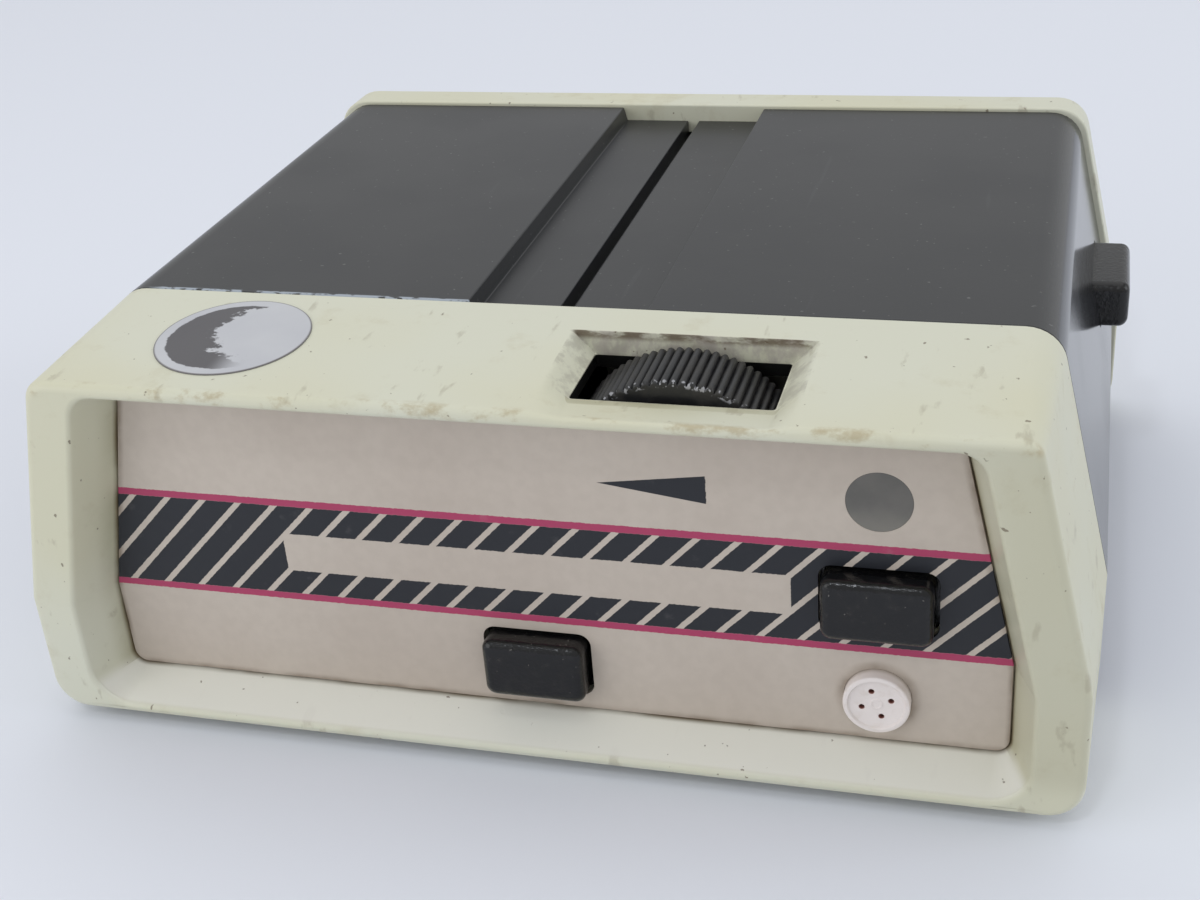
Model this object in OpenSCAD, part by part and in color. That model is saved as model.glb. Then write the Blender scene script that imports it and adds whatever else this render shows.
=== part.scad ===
// Vintage desk intercom: a black extruded sleeve between a cream front bezel and a cream rear
// cover, with its buttons, volume wheel, boards and loudspeaker in their places inside.
// While it is modelled, X runs right, Y runs back and Z runs up, the front face lies at y = 0 and
// the underside of the case at z = 0. at_origin() then moves the origin to the middle of the feet.

/* [Case] */
// Height of the case without its feet
case_h = 45; // [42:1:60]
// Width over the folds of the two sides
waist_w = 122; // [101:1:160]
// Height of the fold in each side
waist_z = 15.5; // [14:0.5:18]
// How far each side leans in between the fold and the top
side_lean = 6.5; // [4:0.5:9]
// Radius of the top edges of the sleeve
top_r = 4.5; // [3:0.5:6]
// Radius of the bottom edges
bottom_r = 4; // [2:0.5:5]
// Radius that softens the fold
fold_r = 2; // [1:0.5:3]

/* [Sleeve] */
// Length of the sleeve
sleeve_len = 71.7; // [59:0.1:100]
// Wall of the sleeve
wall = 1.8; // [1.4:0.1:2.2]
// Width of the channel along the top
channel_w = 21; // [16:0.2:24]
// Depth of the channel
channel_depth = 1.9; // [1:0.1:2.4]
// Width of the slot in the channel's floor
slot_w = 1.6; // [1:0.1:2.4]
// Depth of the slot
slot_depth = 2.2; // [1:0.1:2.4]

/* [Front bezel] */
// Depth of the front bezel, front to back
bezel_d = 23.8; // [22:0.1:30]
// How much the front outline is smaller than the sleeve's, each side and the top
bezel_draft = 1.15; // [0.6:0.05:1.6]
// Width of the rim at the sides of the recess
rim_w = 5.4; // [4:0.1:7]
// Thickness of the lip over the recess
lip_t = 1.45; // [1.2:0.05:2.5]
// Thickness of the sill under the recess
sill_t = 1.3; // [1:0.1:2]
// Depth of the recess, to the seat of the label
recess_d = 6.7; // [5:0.1:8.2]
// Thickness of the seat wall behind the label
seat_t = 1.2; // [1:0.1:2]
// How far the side walls of the recess lean in on the way back
recess_taper = 2.45; // [1:0.05:3]
// Thickness of the printed label
label_t = 0.5; // [0.2:0.1:0.8]

/* [Rear cover] */
// Depth of the rear cover
cover_d = 5.9; // [5:0.1:9]
// Thickness of its back plate
cover_plate_t = 2; // [1.6:0.1:3]
// How far the cover stands proud of the sleeve at the sides
cover_proud = 0.85; // [0:0.05:1.5]
// How far it stands proud at the top
cover_proud_top = 0.5; // [0:0.05:1.5]
// How far each end piece reaches into the sleeve
spigot_len = 4.5; // [3:0.1:6]

/* [Buttons] */
// Width of the face of a front button
button_w = 11.7; // [8:0.1:13.8]
// Height of the face of a front button
button_h = 7.3; // [5:0.1:8.8]
// How far a front button stands proud of the label
button_proud = 2.8; // [1.2:0.1:3.4]
// Travel of the front buttons
button_travel = 1.8; // [1:0.1:2.2]
// Height of the talk button's centre
talk_z = 20.9; // [20:0.1:22]
// Height of the call button's centre
call_z = 9.15; // [8.5:0.05:10]
// Gap round a front button in its hole
button_gap = 0.45; // [0.2:0.05:0.6]
// Length of the side button
side_len = 15.5; // [10:0.5:18.5]
// Height of the side button
side_h = 6.2; // [4:0.1:6.4]
// How far the side button stands out past the fold
side_proud = 1.5; // [1:0.1:3]
// Travel of the side button
side_travel = 2; // [1:0.1:2.4]
// Height of the side button's centre
side_z = 26.95; // [26.9:0.05:29]

/* [Lamp and microphone] */
// Radius of the lamp window
window_r = 3.4; // [2.5:0.1:4]
// Height of the lamp window's centre
window_z = 32.9; // [32:0.1:34]
// Radius of the microphone cap
mic_r = 3.6; // [3:0.1:4]
// How far the microphone cap stands proud of the label
mic_proud = 1.6; // [0.4:0.1:2]
// Height of the microphone cap's centre
mic_z = 8.8; // [8:0.1:9.5]

/* [Volume wheel] */
// Radius of the thumbwheel over its knurls
wheel_r = 12.9; // [10.8:0.1:13.5]
// Thickness of the thumbwheel
wheel_t = 8.5; // [5:0.1:8.6]
// Number of knurls
wheel_knurls = 80; // [50:2:90]
// Radius of the volume shaft
shaft_r = 3; // [2:0.1:3.6]
// How far the wheel's top lies under the top of the sleeve
wheel_sink = 0.8; // [0.4:0.1:1.5]

/* [Fastening and feet] */
// Radius of the long tie screws
tie_r = 1.5; // [1.2:0.1:1.8]
// Height of a rubber foot
foot_h = 1.6; // [1.4:0.1:4]
// Radius of a rubber foot
foot_r = 5; // [3:0.5:7]

/* [Inside] */
// Thickness of the circuit boards
board_t = 1.6; // [1.2:0.1:2]
// Height of the main board's underside
board_z = 20; // [19.4:0.1:20.6]
// Radius of the loudspeaker
speaker_r = 22.5; // [18:0.5:24]

/* [Hidden] */

$fn = 48;
// Segments in a rounded corner
corner_steps = 8;
// Overshoot of a cut past the face that it opens
over = 0.5;
// Radial clearance of a pin, shaft or screw in its hole
fit = 0.05;
// Clearance between pieces that are only slipped together
slip = 0.2;
// Gap between a moving piece and the stop that it rests against
rest_gap = 0.3;

// Outline of the case, in X and Z
waist_hw = waist_w / 2;
half_top = waist_hw - side_lean;
lean_tan = side_lean / (case_h - waist_z);
lean_cos = cos(atan(lean_tan));
total_len = bezel_d + sleeve_len + cover_d;
sleeve_back = bezel_d + sleeve_len;
side_out_x = waist_hw + side_proud;
cover_hw = waist_hw + cover_proud;

// The origin lies under the middle of the whole object, on the surface it stands on
origin_shift = [-(side_out_x - cover_hw) / 2, -total_len / 2, foot_h];

// Front bezel
bezel_wall = 2.8;
front_round = 0.9;
bezel_top_r = 2.3;
recess_top_taper = 1.8;
recess_sill_taper = 1.9;
recess_r = 3;
recess_bottom_r = 4.5;
seat_r = 1.6;
recess_edge = 0.4;
seat_back = recess_d + seat_t;
label_y = recess_d - label_t;
recess_side = bezel_draft + rim_w;
recess_top = bezel_draft + lip_t;
seat_side = recess_side + recess_taper;
seat_top = recess_top + recess_top_taper;
seat_bottom = sill_t + recess_sill_taper;
top_slope = atan(bezel_draft / bezel_d);

// Columns of the front panel
call_x = 0;
column_x = waist_hw - seat_side - 14;
wheel_x = column_x - 21.3;

// Front buttons: face, flange, stem, plunger, spring and switch follow each other along Y
hole_r = 1.5;
button_face_y = label_y - button_proud;
button_round = 1.2;
flange_margin = 1.1;
flange_t = 1;
flange_y = seat_back + rest_gap;
stem_r = 2;
stem_len = 1.8;
plunger_r = 1.6;
plunger_len = 5.2;
spring_len = 4.8;
spring_r = 3.2;
spring_wire_r = 0.25;
spring_turns = 4;
switch_y = flange_y + flange_t + spring_len;
switch_d = 5;
switch_w = 8;
board_y = switch_y + switch_d;
board_back_y = board_y + board_t;

// Side button
side_hole_gap = 0.3;
side_y = total_len - 23.15;
side_round = 1.2;
side_flange = 0.7;
side_flange_x = side_x(side_z + side_h / 2 + side_flange, wall) - rest_gap;
side_flange_t = 1.2;
side_switch_x = side_flange_x - side_flange_t - spring_len;
side_switch_d = 7;
side_switch_h = 9.6;

// Lamp and microphone
disc_flange = 1;
window_flange_t = 0.8;
lamp_r = 2.5;
lamp_y = seat_back + 2.6;
lamp_flange_r = 2.9;
lamp_body = 3.6;
lead_x = 1.27;
lead_r = 0.3;
mic_front_t = 1.2;
mic_bore_r = 2.6;
mic_hole_r = 0.32;
mic_hole_circle = 1.65;
mic_hole_turn = 19;
mic_dish_r = 3;
mic_dish = 0.25;
mic_flange_t = 1;
boot_wall = 1.5;
capsule_r = 3;
capsule_len = 5;

// Volume wheel: wheel, nut, bracket and potentiometer follow each other along Y
wheel_z = case_h - wheel_sink - wheel_r;
wheel_y = seat_back + 0.4;
wheel_back = wheel_y + wheel_t;
knurl_depth = 0.4;
pocket_left = 13.1;
pocket_right = 13.5;
pocket_back = wheel_back + 1.5;
pocket_floor = 2.9;
pocket_lip = 1.2;
pocket_wall = 1.5;
lip_left = 9.5;
lip_right = 11.2;
aperture_hw = 10.8;
aperture_front = seat_back - 0.7;
aperture_step = wheel_y - 0.3;
aperture_back = wheel_back + 1.2;
aperture_round = 0.4;
// The floor rises to the lip from here, and over the seat wall the aperture is this shallow
floor_front = aperture_front - 0.2;
shallow = pocket_floor + 0.9;
bushing_r = shaft_r + 1;
nut_t = 1.8;
nut_y = wheel_back + 0.8;
nut_r = bushing_r + 2.4;
bracket_t = 1.2;
bracket_y = nut_y + nut_t;
bracket_hw = 10;
pot_y = bracket_y + bracket_t;
pot_r = 8;
pot_d = 7;
tag_pitch = 4;
tag_w = 1.5;
tag_t = 0.5;
tag_reach = 4;
bracket_screw_r = 1.25;
bracket_screw_dx = 6;
bracket_screw_tip = 1.6;
bracket_head_r = 2.3;
bracket_head_h = 1.4;
bracket_slot_w = 0.6;
bracket_slot_d = 0.7;

// Main board and what stands on it
board_top = board_z + board_t;
board_hw = side_x(board_top, wall) - 0.5;
board_front = bezel_d + spigot_len + 0.3;
board_back = sleeve_back - spigot_len - 0.3;
bracket_back = board_front + 8.2;
bracket_screw_y = board_front + 4;
guide_t = 1.2;
guide_gap = 0.15;
guide_reach = 1.5;
spigot_t = 1.6;
rib_margin = 2;
rib_drop = slot_depth + 1.4;
// Inner face of the ring that reaches from an end piece into the sleeve, from the outline
ring_inset = wall + slip + spigot_t;

// Amplifier chip and its heat sink, placed from the main board's front edge
chip_x = 12;
chip_y = 22;
chip_w = 20;
chip_t = 3.6;
chip_h = 9;
chip_stand = 3;
chip_legs = 9;
chip_leg_pitch = 2.1;
leg_w = 0.6;
sink_w = chip_w + 4;
sink_h = 14;
sink_plate_t = 2;
sink_fins = 6;
sink_fin_t = 1.2;
sink_fin_d = 8;

// Line transformer: an iron core with two windows and the winding through them
core_x = -(board_hw - 17);
core_y = 24.5;
core_w = 20;
core_d = 12;
core_h = 13.6;
core_window_x = 5;
core_window_w = 3.6;
core_window_z = 2.6;
core_window_h = 8.4;
winding_w = 13.6;
winding_d = 17;
winding_h = 8.2;

// Capacitors, as x, y, radius and height
large_cans = [[-14, 20, 5, 15], [-14, 33, 5, 15]];
small_cans = [[-24, 6, 2.5, 7], [-17, 6, 2.5, 7], [-10, 6, 2.5, 7], [-4, 12, 2, 6], [-4, 30, 2, 6]];
can_rim = 0.8;
can_dent = 0.4;

// Resistors, side by side
resistor_count = 6;
resistor_x = -2;
resistor_y = 37;
resistor_pitch = 4;
resistor_r = 1.1;
resistor_len = 5.6;
resistor_z = 1.2;
resistor_lead = 0.6;
resistor_reach = 1.4;

// Rear cover
cover_round = 0.8;
cover_wall = 2.6;
plate_y = total_len - cover_plate_t;
jack_w = 9;
jack_d = 14;
jack_h = 10;
jack_nose_r = 4;
jack_nose_sunk = 0.3;
jack_bore_r = 1.8;
jack_bore_len = 13;
dc_x = -30;
line_x = -12;
jack_z = board_top + jack_h / 2;

// Fastening
boss_r = 4;
tie_top_z = case_h - 7.5;
tie_low_z = 6.3;
tie_top_x = side_x(tie_top_z, 0) - 9.15;
tie_low_x = waist_hw - 8;
tie_points = [
    for (side = [-1, 1]) each [[side * tie_top_x, tie_top_z], [side * tie_low_x, tie_low_z]]
];
tie_head_r = tie_r + 1.3;
tie_head_h = 2;
tie_slot_w = 0.8;
tie_slot_d = 0.8;
head_room = 0.2;
insert_r = tie_r + 0.8;
insert_len = 6;
insert_y = bezel_d - insert_len;
tie_tip_y = insert_y + 1.4;
tie_head_y = total_len - tie_head_h - head_room;

// Switch board: an L that carries both front switches, the lamp and the microphone
sboard_left = call_x - 14;
sboard_right = column_x + 10.4;
sboard_bottom = ring_inset + 0.2;
sboard_step = 16.5;
sboard_arm_left = column_x - 7;
sboard_arm_right = column_x + 4.4;
sboard_top = case_h - ring_inset - 0.2;
post_r = 2.2;
post_screw_r = 1;
post_screw_len = 8;
post_head_r = 2;
post_head_h = 1.3;
post_slot_w = 0.6;
post_slot_d = 0.6;
post_points = [
    [call_x - 10.5, call_z],
    [column_x + 8.3, 12.5],
    [column_x - 4.5, sboard_top - post_head_r - 0.1]
];

// Loudspeaker, facing down through the slots in the sleeve's underside
speaker_y = bezel_d + sleeve_len / 2;
gasket_t = 0.8;
basket_t = 1;
speaker_in_r = speaker_r - 4.5;
basket_z = wall + gasket_t;
basket_depth = 9;
basket_sheet = 0.8;
basket_window_w = 8;
basket_window_h = 4.6;
magnet_r = 13;
magnet_z = basket_z + basket_depth;
magnet_t = 5.6;
magnet_cap_t = 1.2;
coil_r = 6;
cone_t = 0.5;
cone_hang = speaker_in_r - 1.4;
speaker_screw_r = 1;
speaker_screw_circle = speaker_r - 1.9;
speaker_nut_r = 2;
speaker_nut_t = 1.6;
speaker_head_r = 1.9;
speaker_head_h = 1.1;
speaker_slot_w = 0.5;
wire_x = 3;
wire_r = 0.6;
grille_slots = 7;
grille_slot_w = 2.4;
grille_pitch = 4;
grille_r = 15.5;

// Feet and sticker
foot_x = waist_hw - 15;
foot_front_y = 12;
foot_rear_y = sleeve_back - 7.5;
sticker_r = 8.8;
sticker_t = 0.3;
sticker_x = -(half_top - 20.1);
sticker_y = 12.7;
sticker_lift = 0.02;

// Ribbon cable from the switch board to the underside of the main board
ribbon_w = 12;
ribbon_t = 0.9;
ribbon_x = call_x - 6;
ribbon_z = 11;
ribbon_bend = 3;
ribbon_up_y = board_front + 1.4;

cream = "ivory";
black = "#26272b";
board_green = "#3f6b3a";
steel = "#b8bcc2";
brass = "#c8a14e";

// ---- Shapes shared by the pieces ----

function unit(v) = v / norm(v);
function wrap(a) = a - 360 * floor((a + 180) / 360);

// Points of an arc of radius r that rounds the corner b between the points a and c
function corner(a, b, c, r) =
    let (
        u = unit(a - b),
        w = unit(c - b),
        half = acos(u * w) / 2,
        centre = b + unit(u + w) * r / sin(half),
        from = b + u * r / tan(half) - centre,
        to = b + w * r / tan(half) - centre,
        start = atan2(from[1], from[0]),
        turn = wrap(atan2(to[1], to[0]) - start)
    )
    [for (i = [0 : corner_steps])
        centre + r * [cos(start + turn * i / corner_steps), sin(start + turn * i / corner_steps)]];

function round_poly(pts, radii) =
    let (n = len(pts))
    [for (i = [0 : n - 1]) each corner(pts[(i + n - 1) % n], pts[i], pts[(i + 1) % n], radii[i])];

// Half width of the leaning side at height z, moved in by an inset
function side_x(z, inset) = half_top + (case_h - z) * lean_tan - inset / lean_cos;

// Corners of the case outline, moved in by s at the sides, t at the top and b at the bottom
function case_corners(s, t, b) =
    let (
        hw = waist_hw - s,
        fold = case_h - (hw - half_top + s / lean_cos) / lean_tan,
        top = case_h - t
    )
    [[side_x(top, s), top], [hw, fold], [hw, b], [-hw, b], [-hw, fold], [-side_x(top, s), top]];

function case_outline(s, t, b, r_top, r_bottom) =
    round_poly(case_corners(s, t, b), [r_top, fold_r, r_bottom, r_bottom, fold_r, r_top]);

// Turns X and Z of a flat outline into a solid from y0 back to y1
module along_y(y0, y1) {
    translate([0, y1, 0]) rotate([90, 0, 0]) linear_extrude(y1 - y0) children();
}

module case_prism(y0, y1, s, t, b, r_top, r_bottom) {
    along_y(y0, y1) polygon(case_outline(s, t, b, r_top, r_bottom));
}

// A thin slice of the case outline, used as one station of a hull
module station(y, s, t, b, r_top, r_bottom) {
    case_prism(y, y + 0.01, s, t, b, r_top, r_bottom);
}

// Cylinder that lies along Y
module rod_y(x, z, y0, y1, r) {
    translate([x, y1, z]) rotate([90, 0, 0]) cylinder(h = y1 - y0, r = r);
}

// Cylinder that lies along X
module rod_x(y, z, x0, x1, r) {
    translate([x0, y, z]) rotate([0, 90, 0]) cylinder(h = x1 - x0, r = r);
}

module rounded_rect(w, h, r) {
    polygon(round_poly([[w / 2, h / 2], [w / 2, -h / 2], [-w / 2, -h / 2], [-w / 2, h / 2]],
                       [r, r, r, r]));
}

module rounded_block_y(x, z, y0, y1, w, h, r) {
    translate([x, 0, z]) along_y(y0, y1) rounded_rect(w, h, r);
}

// Block that spans two corners
module block(low, high) {
    translate(low) cube(high - low);
}

// Ring that reaches into the sleeve, notched for its channel rib and its card guides
module spigot(y0, y1) {
    difference() {
        case_prism(y0, y1, wall + slip, wall + slip, wall + slip, top_r - wall, bottom_r - wall);
        case_prism(y0 - over, y1 + over, ring_inset, ring_inset, ring_inset, 2, 2);
        block([-channel_w / 2 - rib_margin - 0.7, bezel_d, case_h - channel_depth - rib_drop - 0.7],
              [channel_w / 2 + rib_margin + 0.7, sleeve_back, case_h]);
        block([-waist_hw, bezel_d, board_z - guide_gap - guide_t - 0.4],
              [waist_hw, sleeve_back, board_top + guide_gap + guide_t + 0.4]);
    }
}

// Coil spring along +Z: one tube of six sides with eight rings to a turn
module coil_spring(length, turns) {
    rings = turns * 8;
    pitch = (length - 2 * spring_wire_r) / turns;
    points = [
        for (i = [0 : rings], k = [0 : 5])
            let (a = 45 * i, reach = spring_r + spring_wire_r * cos(60 * k))
            [reach * cos(a), reach * sin(a),
             spring_wire_r + pitch * i / 8 + spring_wire_r * sin(60 * k)]
    ];
    faces = concat(
        [[for (k = [0 : 5]) k]],
        [for (i = [0 : rings - 1], k = [0 : 5])
            let (a = 6 * i + k, b = 6 * i + (k + 1) % 6) each [[a, a + 6, b + 6], [a, b + 6, b]]],
        [[for (k = [5 : -1 : 0]) 6 * rings + k]]
    );
    echo(least_gap_between_turns = pitch - 2 * spring_wire_r);
    polyhedron(points = points, faces = faces);
}

// ---- Casing ----

module sleeve() {
    channel_z = case_h - channel_depth;
    inside_r = top_r - wall;
    color(black) at_origin() difference() {
        union() {
            difference() {
                case_prism(bezel_d, sleeve_back, 0, 0, 0, top_r, bottom_r);
                case_prism(bezel_d - over, sleeve_back + over, wall, wall, wall, inside_r,
                           bottom_r - wall);
            }
            block([-channel_w / 2 - rib_margin, bezel_d, channel_z - rib_drop],
                  [channel_w / 2 + rib_margin, sleeve_back, case_h - wall / 2]);
            for (side = [-1, 1], z = [board_z - guide_gap - guide_t, board_top + guide_gap])
                card_guide(side, z);
        }
        channel_cut(channel_z);
        block([-slot_w / 2, bezel_d - over, channel_z - slot_depth],
              [slot_w / 2, sleeve_back + over, channel_z + over]);
        side_button_hole();
        for (i = [0 : grille_slots - 1]) grille_slot((i - (grille_slots - 1) / 2) * grille_pitch);
        speaker_screw_positions() translate([0, 0, -over])
            cylinder(h = wall + 2 * over, r = speaker_screw_r + fit);
    }
}

// One shelf of a card guide, from the wall inwards
module card_guide(side, z) {
    outer = side_x(z + guide_t, wall / 2);
    inner = board_hw - guide_reach;
    block([side > 0 ? inner : -outer, bezel_d, z],
          [side > 0 ? outer : -inner, sleeve_back, z + guide_t]);
}

// The channel narrows a little towards its floor
module channel_cut(z) {
    top = case_h + over;
    along_y(bezel_d - over, sleeve_back + over)
        polygon([[-channel_w / 2, top], [channel_w / 2, top], [channel_w / 2 - 0.5, z],
                 [-channel_w / 2 + 0.5, z]]);
}

module side_button_hole() {
    translate([side_flange_x, side_y, side_z]) rotate([90, 0, 90])
        linear_extrude(waist_hw)
            rounded_rect(side_len + 2 * side_hole_gap, side_h + 2 * side_hole_gap,
                         side_round + side_hole_gap);
}

module grille_slot(x) {
    half = sqrt(grille_r * grille_r - x * x);
    translate([0, speaker_y, -over]) {
        translate([x - grille_slot_w / 2, -half, 0]) cube([grille_slot_w, 2 * half, wall + 2 * over]);
        for (end = [-1, 1]) translate([x, end * half, 0])
            cylinder(h = wall + 2 * over, r = grille_slot_w / 2, $fn = 24);
    }
}

module front_bezel() {
    color(cream) at_origin() difference() {
        union() {
            difference() {
                bezel_block();
                bezel_recess();
                case_prism(seat_back, bezel_d + over, bezel_wall, bezel_wall, bezel_wall, 2, 2);
            }
            block([wheel_x - pocket_left - 1.2, seat_back - over, case_h - pocket_floor - pocket_wall],
                  [wheel_x + pocket_right + 1.6, pocket_back + 0.6, case_h - bezel_wall + over]);
            spigot(bezel_d - bezel_wall, bezel_d + spigot_len);
            for (p = tie_points) tie_boss(p);
            for (p = post_points) rod_y(p[0], p[1], seat_back - over, board_y, post_r);
        }
        wheel_pocket();
        wheel_aperture(aperture_front, shallow);
        wheel_aperture(aperture_step, pocket_floor + 4);
        panel_holes(seat_back + over);
        for (p = tie_points) {
            rod_y(p[0], p[1], insert_y, bezel_d + over, insert_r + fit);
            rod_y(p[0], p[1], insert_y - 4, insert_y + over, tie_r + fit);
        }
        for (p = post_points)
            rod_y(p[0], p[1], board_back_y - post_screw_len - over, board_y + over,
                  post_screw_r + fit);
    }
}

// The outside narrows towards the front, and its front edge is rounded
module bezel_block() {
    edge = bezel_draft * (1 - front_round / bezel_d);
    half_edge = bezel_draft * (1 - 0.3 * front_round / bezel_d) + 0.3 * front_round;
    front = bezel_draft + front_round;
    hull() {
        station(0, front, front, front_round, bezel_top_r, bottom_r - front_round);
        station(0.3 * front_round, half_edge, half_edge, 0.3 * front_round, bezel_top_r, bottom_r);
        station(front_round, edge, edge, 0, bezel_top_r, bottom_r);
        station(bezel_d - 0.01, 0, 0, 0, top_r, bottom_r);
    }
}

module bezel_recess() {
    hull() {
        station(-0.01, recess_side, recess_top, sill_t, recess_r, recess_bottom_r);
        station(recess_d - 0.01, seat_side, seat_top, seat_bottom, seat_r, seat_r);
    }
    hull() {
        station(-0.02, recess_side - recess_edge, recess_top - recess_edge, sill_t - recess_edge,
                recess_r, recess_bottom_r);
        station(recess_edge, recess_side, recess_top, sill_t, recess_r, recess_bottom_r);
    }
}

// Pocket for the thumb: open at the lip in front, with a floor that rises towards it
module wheel_pocket() {
    top = case_h + 1;
    floor_z = case_h - pocket_floor;
    lip_z = case_h - pocket_lip;
    left = wheel_x - pocket_left;
    right = wheel_x + pocket_right;
    hull() for (p = [
        [left, -1, top], [right, -1, top], [left, pocket_back, top], [right, pocket_back, top],
        [wheel_x - lip_left, -1, lip_z], [wheel_x + lip_right, -1, lip_z],
        [wheel_x - aperture_hw, floor_front, floor_z], [wheel_x + aperture_hw, floor_front, floor_z],
        [wheel_x - aperture_hw, aperture_back, floor_z], [wheel_x + aperture_hw, aperture_back, floor_z]
    ]) translate(p) cube(0.01);
}

// Opening that the wheel stands up through, from y back and this deep under the top
module wheel_aperture(y, depth) {
    translate([wheel_x, (y + aperture_back) / 2, case_h - depth])
        linear_extrude(depth)
            rounded_rect(2 * aperture_hw, aperture_back - y, aperture_round);
}

// Holes for the buttons, the lamp window and the microphone cap, from the front to y_end
module panel_holes(y_end) {
    for (p = [[column_x, talk_z], [call_x, call_z]])
        rounded_block_y(p[0], p[1], -over, y_end, button_w + 2 * button_gap,
                        button_h + 2 * button_gap, hole_r);
    rod_y(column_x, window_z, -over, y_end, window_r + fit);
    rod_y(column_x, mic_z, -over, y_end, mic_r + fit);
}

// Boss for a brass insert, tied to the nearest wall by a rib
module tie_boss(p) {
    up = p[1] > case_h / 2;
    rod_y(p[0], p[1], seat_back - over, bezel_d, boss_r);
    block([p[0] - 1, seat_back - over, up ? p[1] : 1],
          [p[0] + 1, bezel_d - bezel_wall, up ? case_h - bezel_wall / 2 : p[1]]);
}

module rear_cover() {
    color(cream) at_origin() difference() {
        union() {
            difference() {
                hull() {
                    station(sleeve_back, -cover_proud + 0.3, -cover_proud_top + 0.3, 0.3,
                            top_r, bottom_r);
                    station(sleeve_back + 0.4, -cover_proud, -cover_proud_top, 0, top_r, bottom_r);
                    station(total_len - cover_round, -cover_proud, -cover_proud_top, 0,
                            top_r, bottom_r);
                    station(total_len - 0.01, cover_round - cover_proud,
                            cover_round - cover_proud_top, cover_round, top_r, bottom_r - cover_round);
                }
                case_prism(sleeve_back - over, plate_y, cover_wall, cover_wall, cover_wall, 2, 2);
            }
            spigot(sleeve_back - spigot_len, sleeve_back + 0.6);
            for (p = tie_points) rod_y(p[0], p[1], sleeve_back + 0.5, plate_y + over, boss_r);
        }
        for (p = tie_points) {
            rod_y(p[0], p[1], sleeve_back, total_len + over, tie_r + slip);
            rod_y(p[0], p[1], tie_head_y, total_len + over, tie_head_r + slip);
        }
        for (x = [dc_x, line_x])
            rod_y(x, jack_z, plate_y - over, total_len + over, jack_nose_r + fit);
    }
}

// ---- Front panel ----

module panel_label() {
    color("#b3aba2") at_origin() difference() {
        case_prism(label_y, recess_d, seat_side + 0.05, seat_top + 0.05, seat_bottom + 0.05,
                   seat_r, seat_r);
        panel_holes(recess_d + over);
    }
}

module round_sticker() {
    z = case_h - bezel_draft * (1 - sticker_y / bezel_d) + sticker_lift;
    color("#c9c4d6") at_origin() translate([sticker_x, sticker_y, z]) rotate([top_slope, 0, 0])
        cylinder(h = sticker_t, r = sticker_r, $fn = 72);
}

module lamp_window() {
    color("#6f7072") at_origin() {
        rod_y(column_x, window_z, label_y + 0.1, seat_back + over, window_r);
        rod_y(column_x, window_z, seat_back, seat_back + window_flange_t, window_r + disc_flange);
    }
}

module call_lamp() {
    color("#b8322c") at_origin() {
        translate([column_x, lamp_y + lamp_r, window_z]) rotate([-90, 0, 0]) {
            sphere(r = lamp_r);
            cylinder(h = lamp_body, r = lamp_r);
            translate([0, 0, lamp_body - 1]) cylinder(h = 1, r = lamp_flange_r);
            for (side = [-1, 1]) translate([side * lead_x, 0, lamp_body - 0.6])
                cylinder(h = board_y - lamp_y - lamp_r - lamp_body + 0.6, r = lead_r, $fn = 16);
        }
    }
}

module mic_cap() {
    face_y = label_y - mic_proud;
    color("white") at_origin() difference() {
        union() {
            rod_y(column_x, mic_z, face_y, seat_back + mic_flange_t, mic_r);
            rod_y(column_x, mic_z, seat_back, seat_back + mic_flange_t, mic_r + disc_flange);
        }
        rod_y(column_x, mic_z, face_y - over, face_y + mic_dish, mic_dish_r);
        rod_y(column_x, mic_z, face_y + mic_front_t, seat_back + mic_flange_t + over, mic_bore_r);
        for (i = [0 : 3]) {
            a = 90 * i + mic_hole_turn;
            translate([column_x + mic_hole_circle * cos(a), face_y + mic_front_t + over,
                       mic_z + mic_hole_circle * sin(a)])
                rotate([90, 0, 0]) cylinder(h = mic_front_t + 2 * over, r = mic_hole_r, $fn = 24);
        }
    }
}

module mic_boot() {
    color("#1d1d1f") at_origin() difference() {
        rod_y(column_x, mic_z, seat_back + mic_flange_t, board_y, capsule_r + fit + boot_wall);
        rod_y(column_x, mic_z, seat_back, board_y + over, capsule_r + fit);
    }
}

module mic_capsule() {
    y0 = seat_back + mic_flange_t + 2;
    color("silver") at_origin() {
        rod_y(column_x, mic_z, y0, y0 + capsule_len, capsule_r);
        for (side = [-1, 1])
            rod_y(column_x + side * lead_x, mic_z, y0 + capsule_len - 1, board_y, lead_r, $fn = 16);
    }
}

// Front button: rounded face, shank through the seat wall, stop flange and stem
module front_button(x, z) {
    w = button_w;
    h = button_h;
    hull() {
        rounded_block_y(x, z, button_face_y, button_face_y + 0.01, w - 2 * button_round,
                        h - 2 * button_round, button_round);
        rounded_block_y(x, z, button_face_y + 0.25 * button_round,
                        button_face_y + 0.25 * button_round + 0.01,
                        w - 0.7 * button_round, h - 0.7 * button_round, button_round);
        rounded_block_y(x, z, button_face_y + button_round, seat_back, w, h, button_round);
    }
    rounded_block_y(x, z, seat_back - over, flange_y + over, w, h, button_round);
    rounded_block_y(x, z, flange_y, flange_y + flange_t, w + 2 * flange_margin,
                    h + 2 * flange_margin, button_round);
    rod_y(x, z, flange_y + flange_t - over, flange_y + flange_t + stem_len, stem_r);
}

module front_plunger(x, z) {
    y0 = flange_y + flange_t + stem_len;
    rod_y(x, z, y0, y0 + plunger_len, plunger_r);
}

module front_spring(x, z) {
    translate([x, flange_y + flange_t, z]) rotate([-90, 0, 0]) coil_spring(spring_len, spring_turns);
}

module front_switch(x, z) {
    bore = stem_len + plunger_len + button_travel - spring_len + 0.5;
    difference() {
        block([x - switch_w / 2, switch_y, z - switch_w / 2 + 0.6],
              [x + switch_w / 2, board_y, z + switch_w / 2 - 0.6]);
        rod_y(x, z, switch_y - over, switch_y + bore, plunger_r + fit);
    }
}

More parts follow.
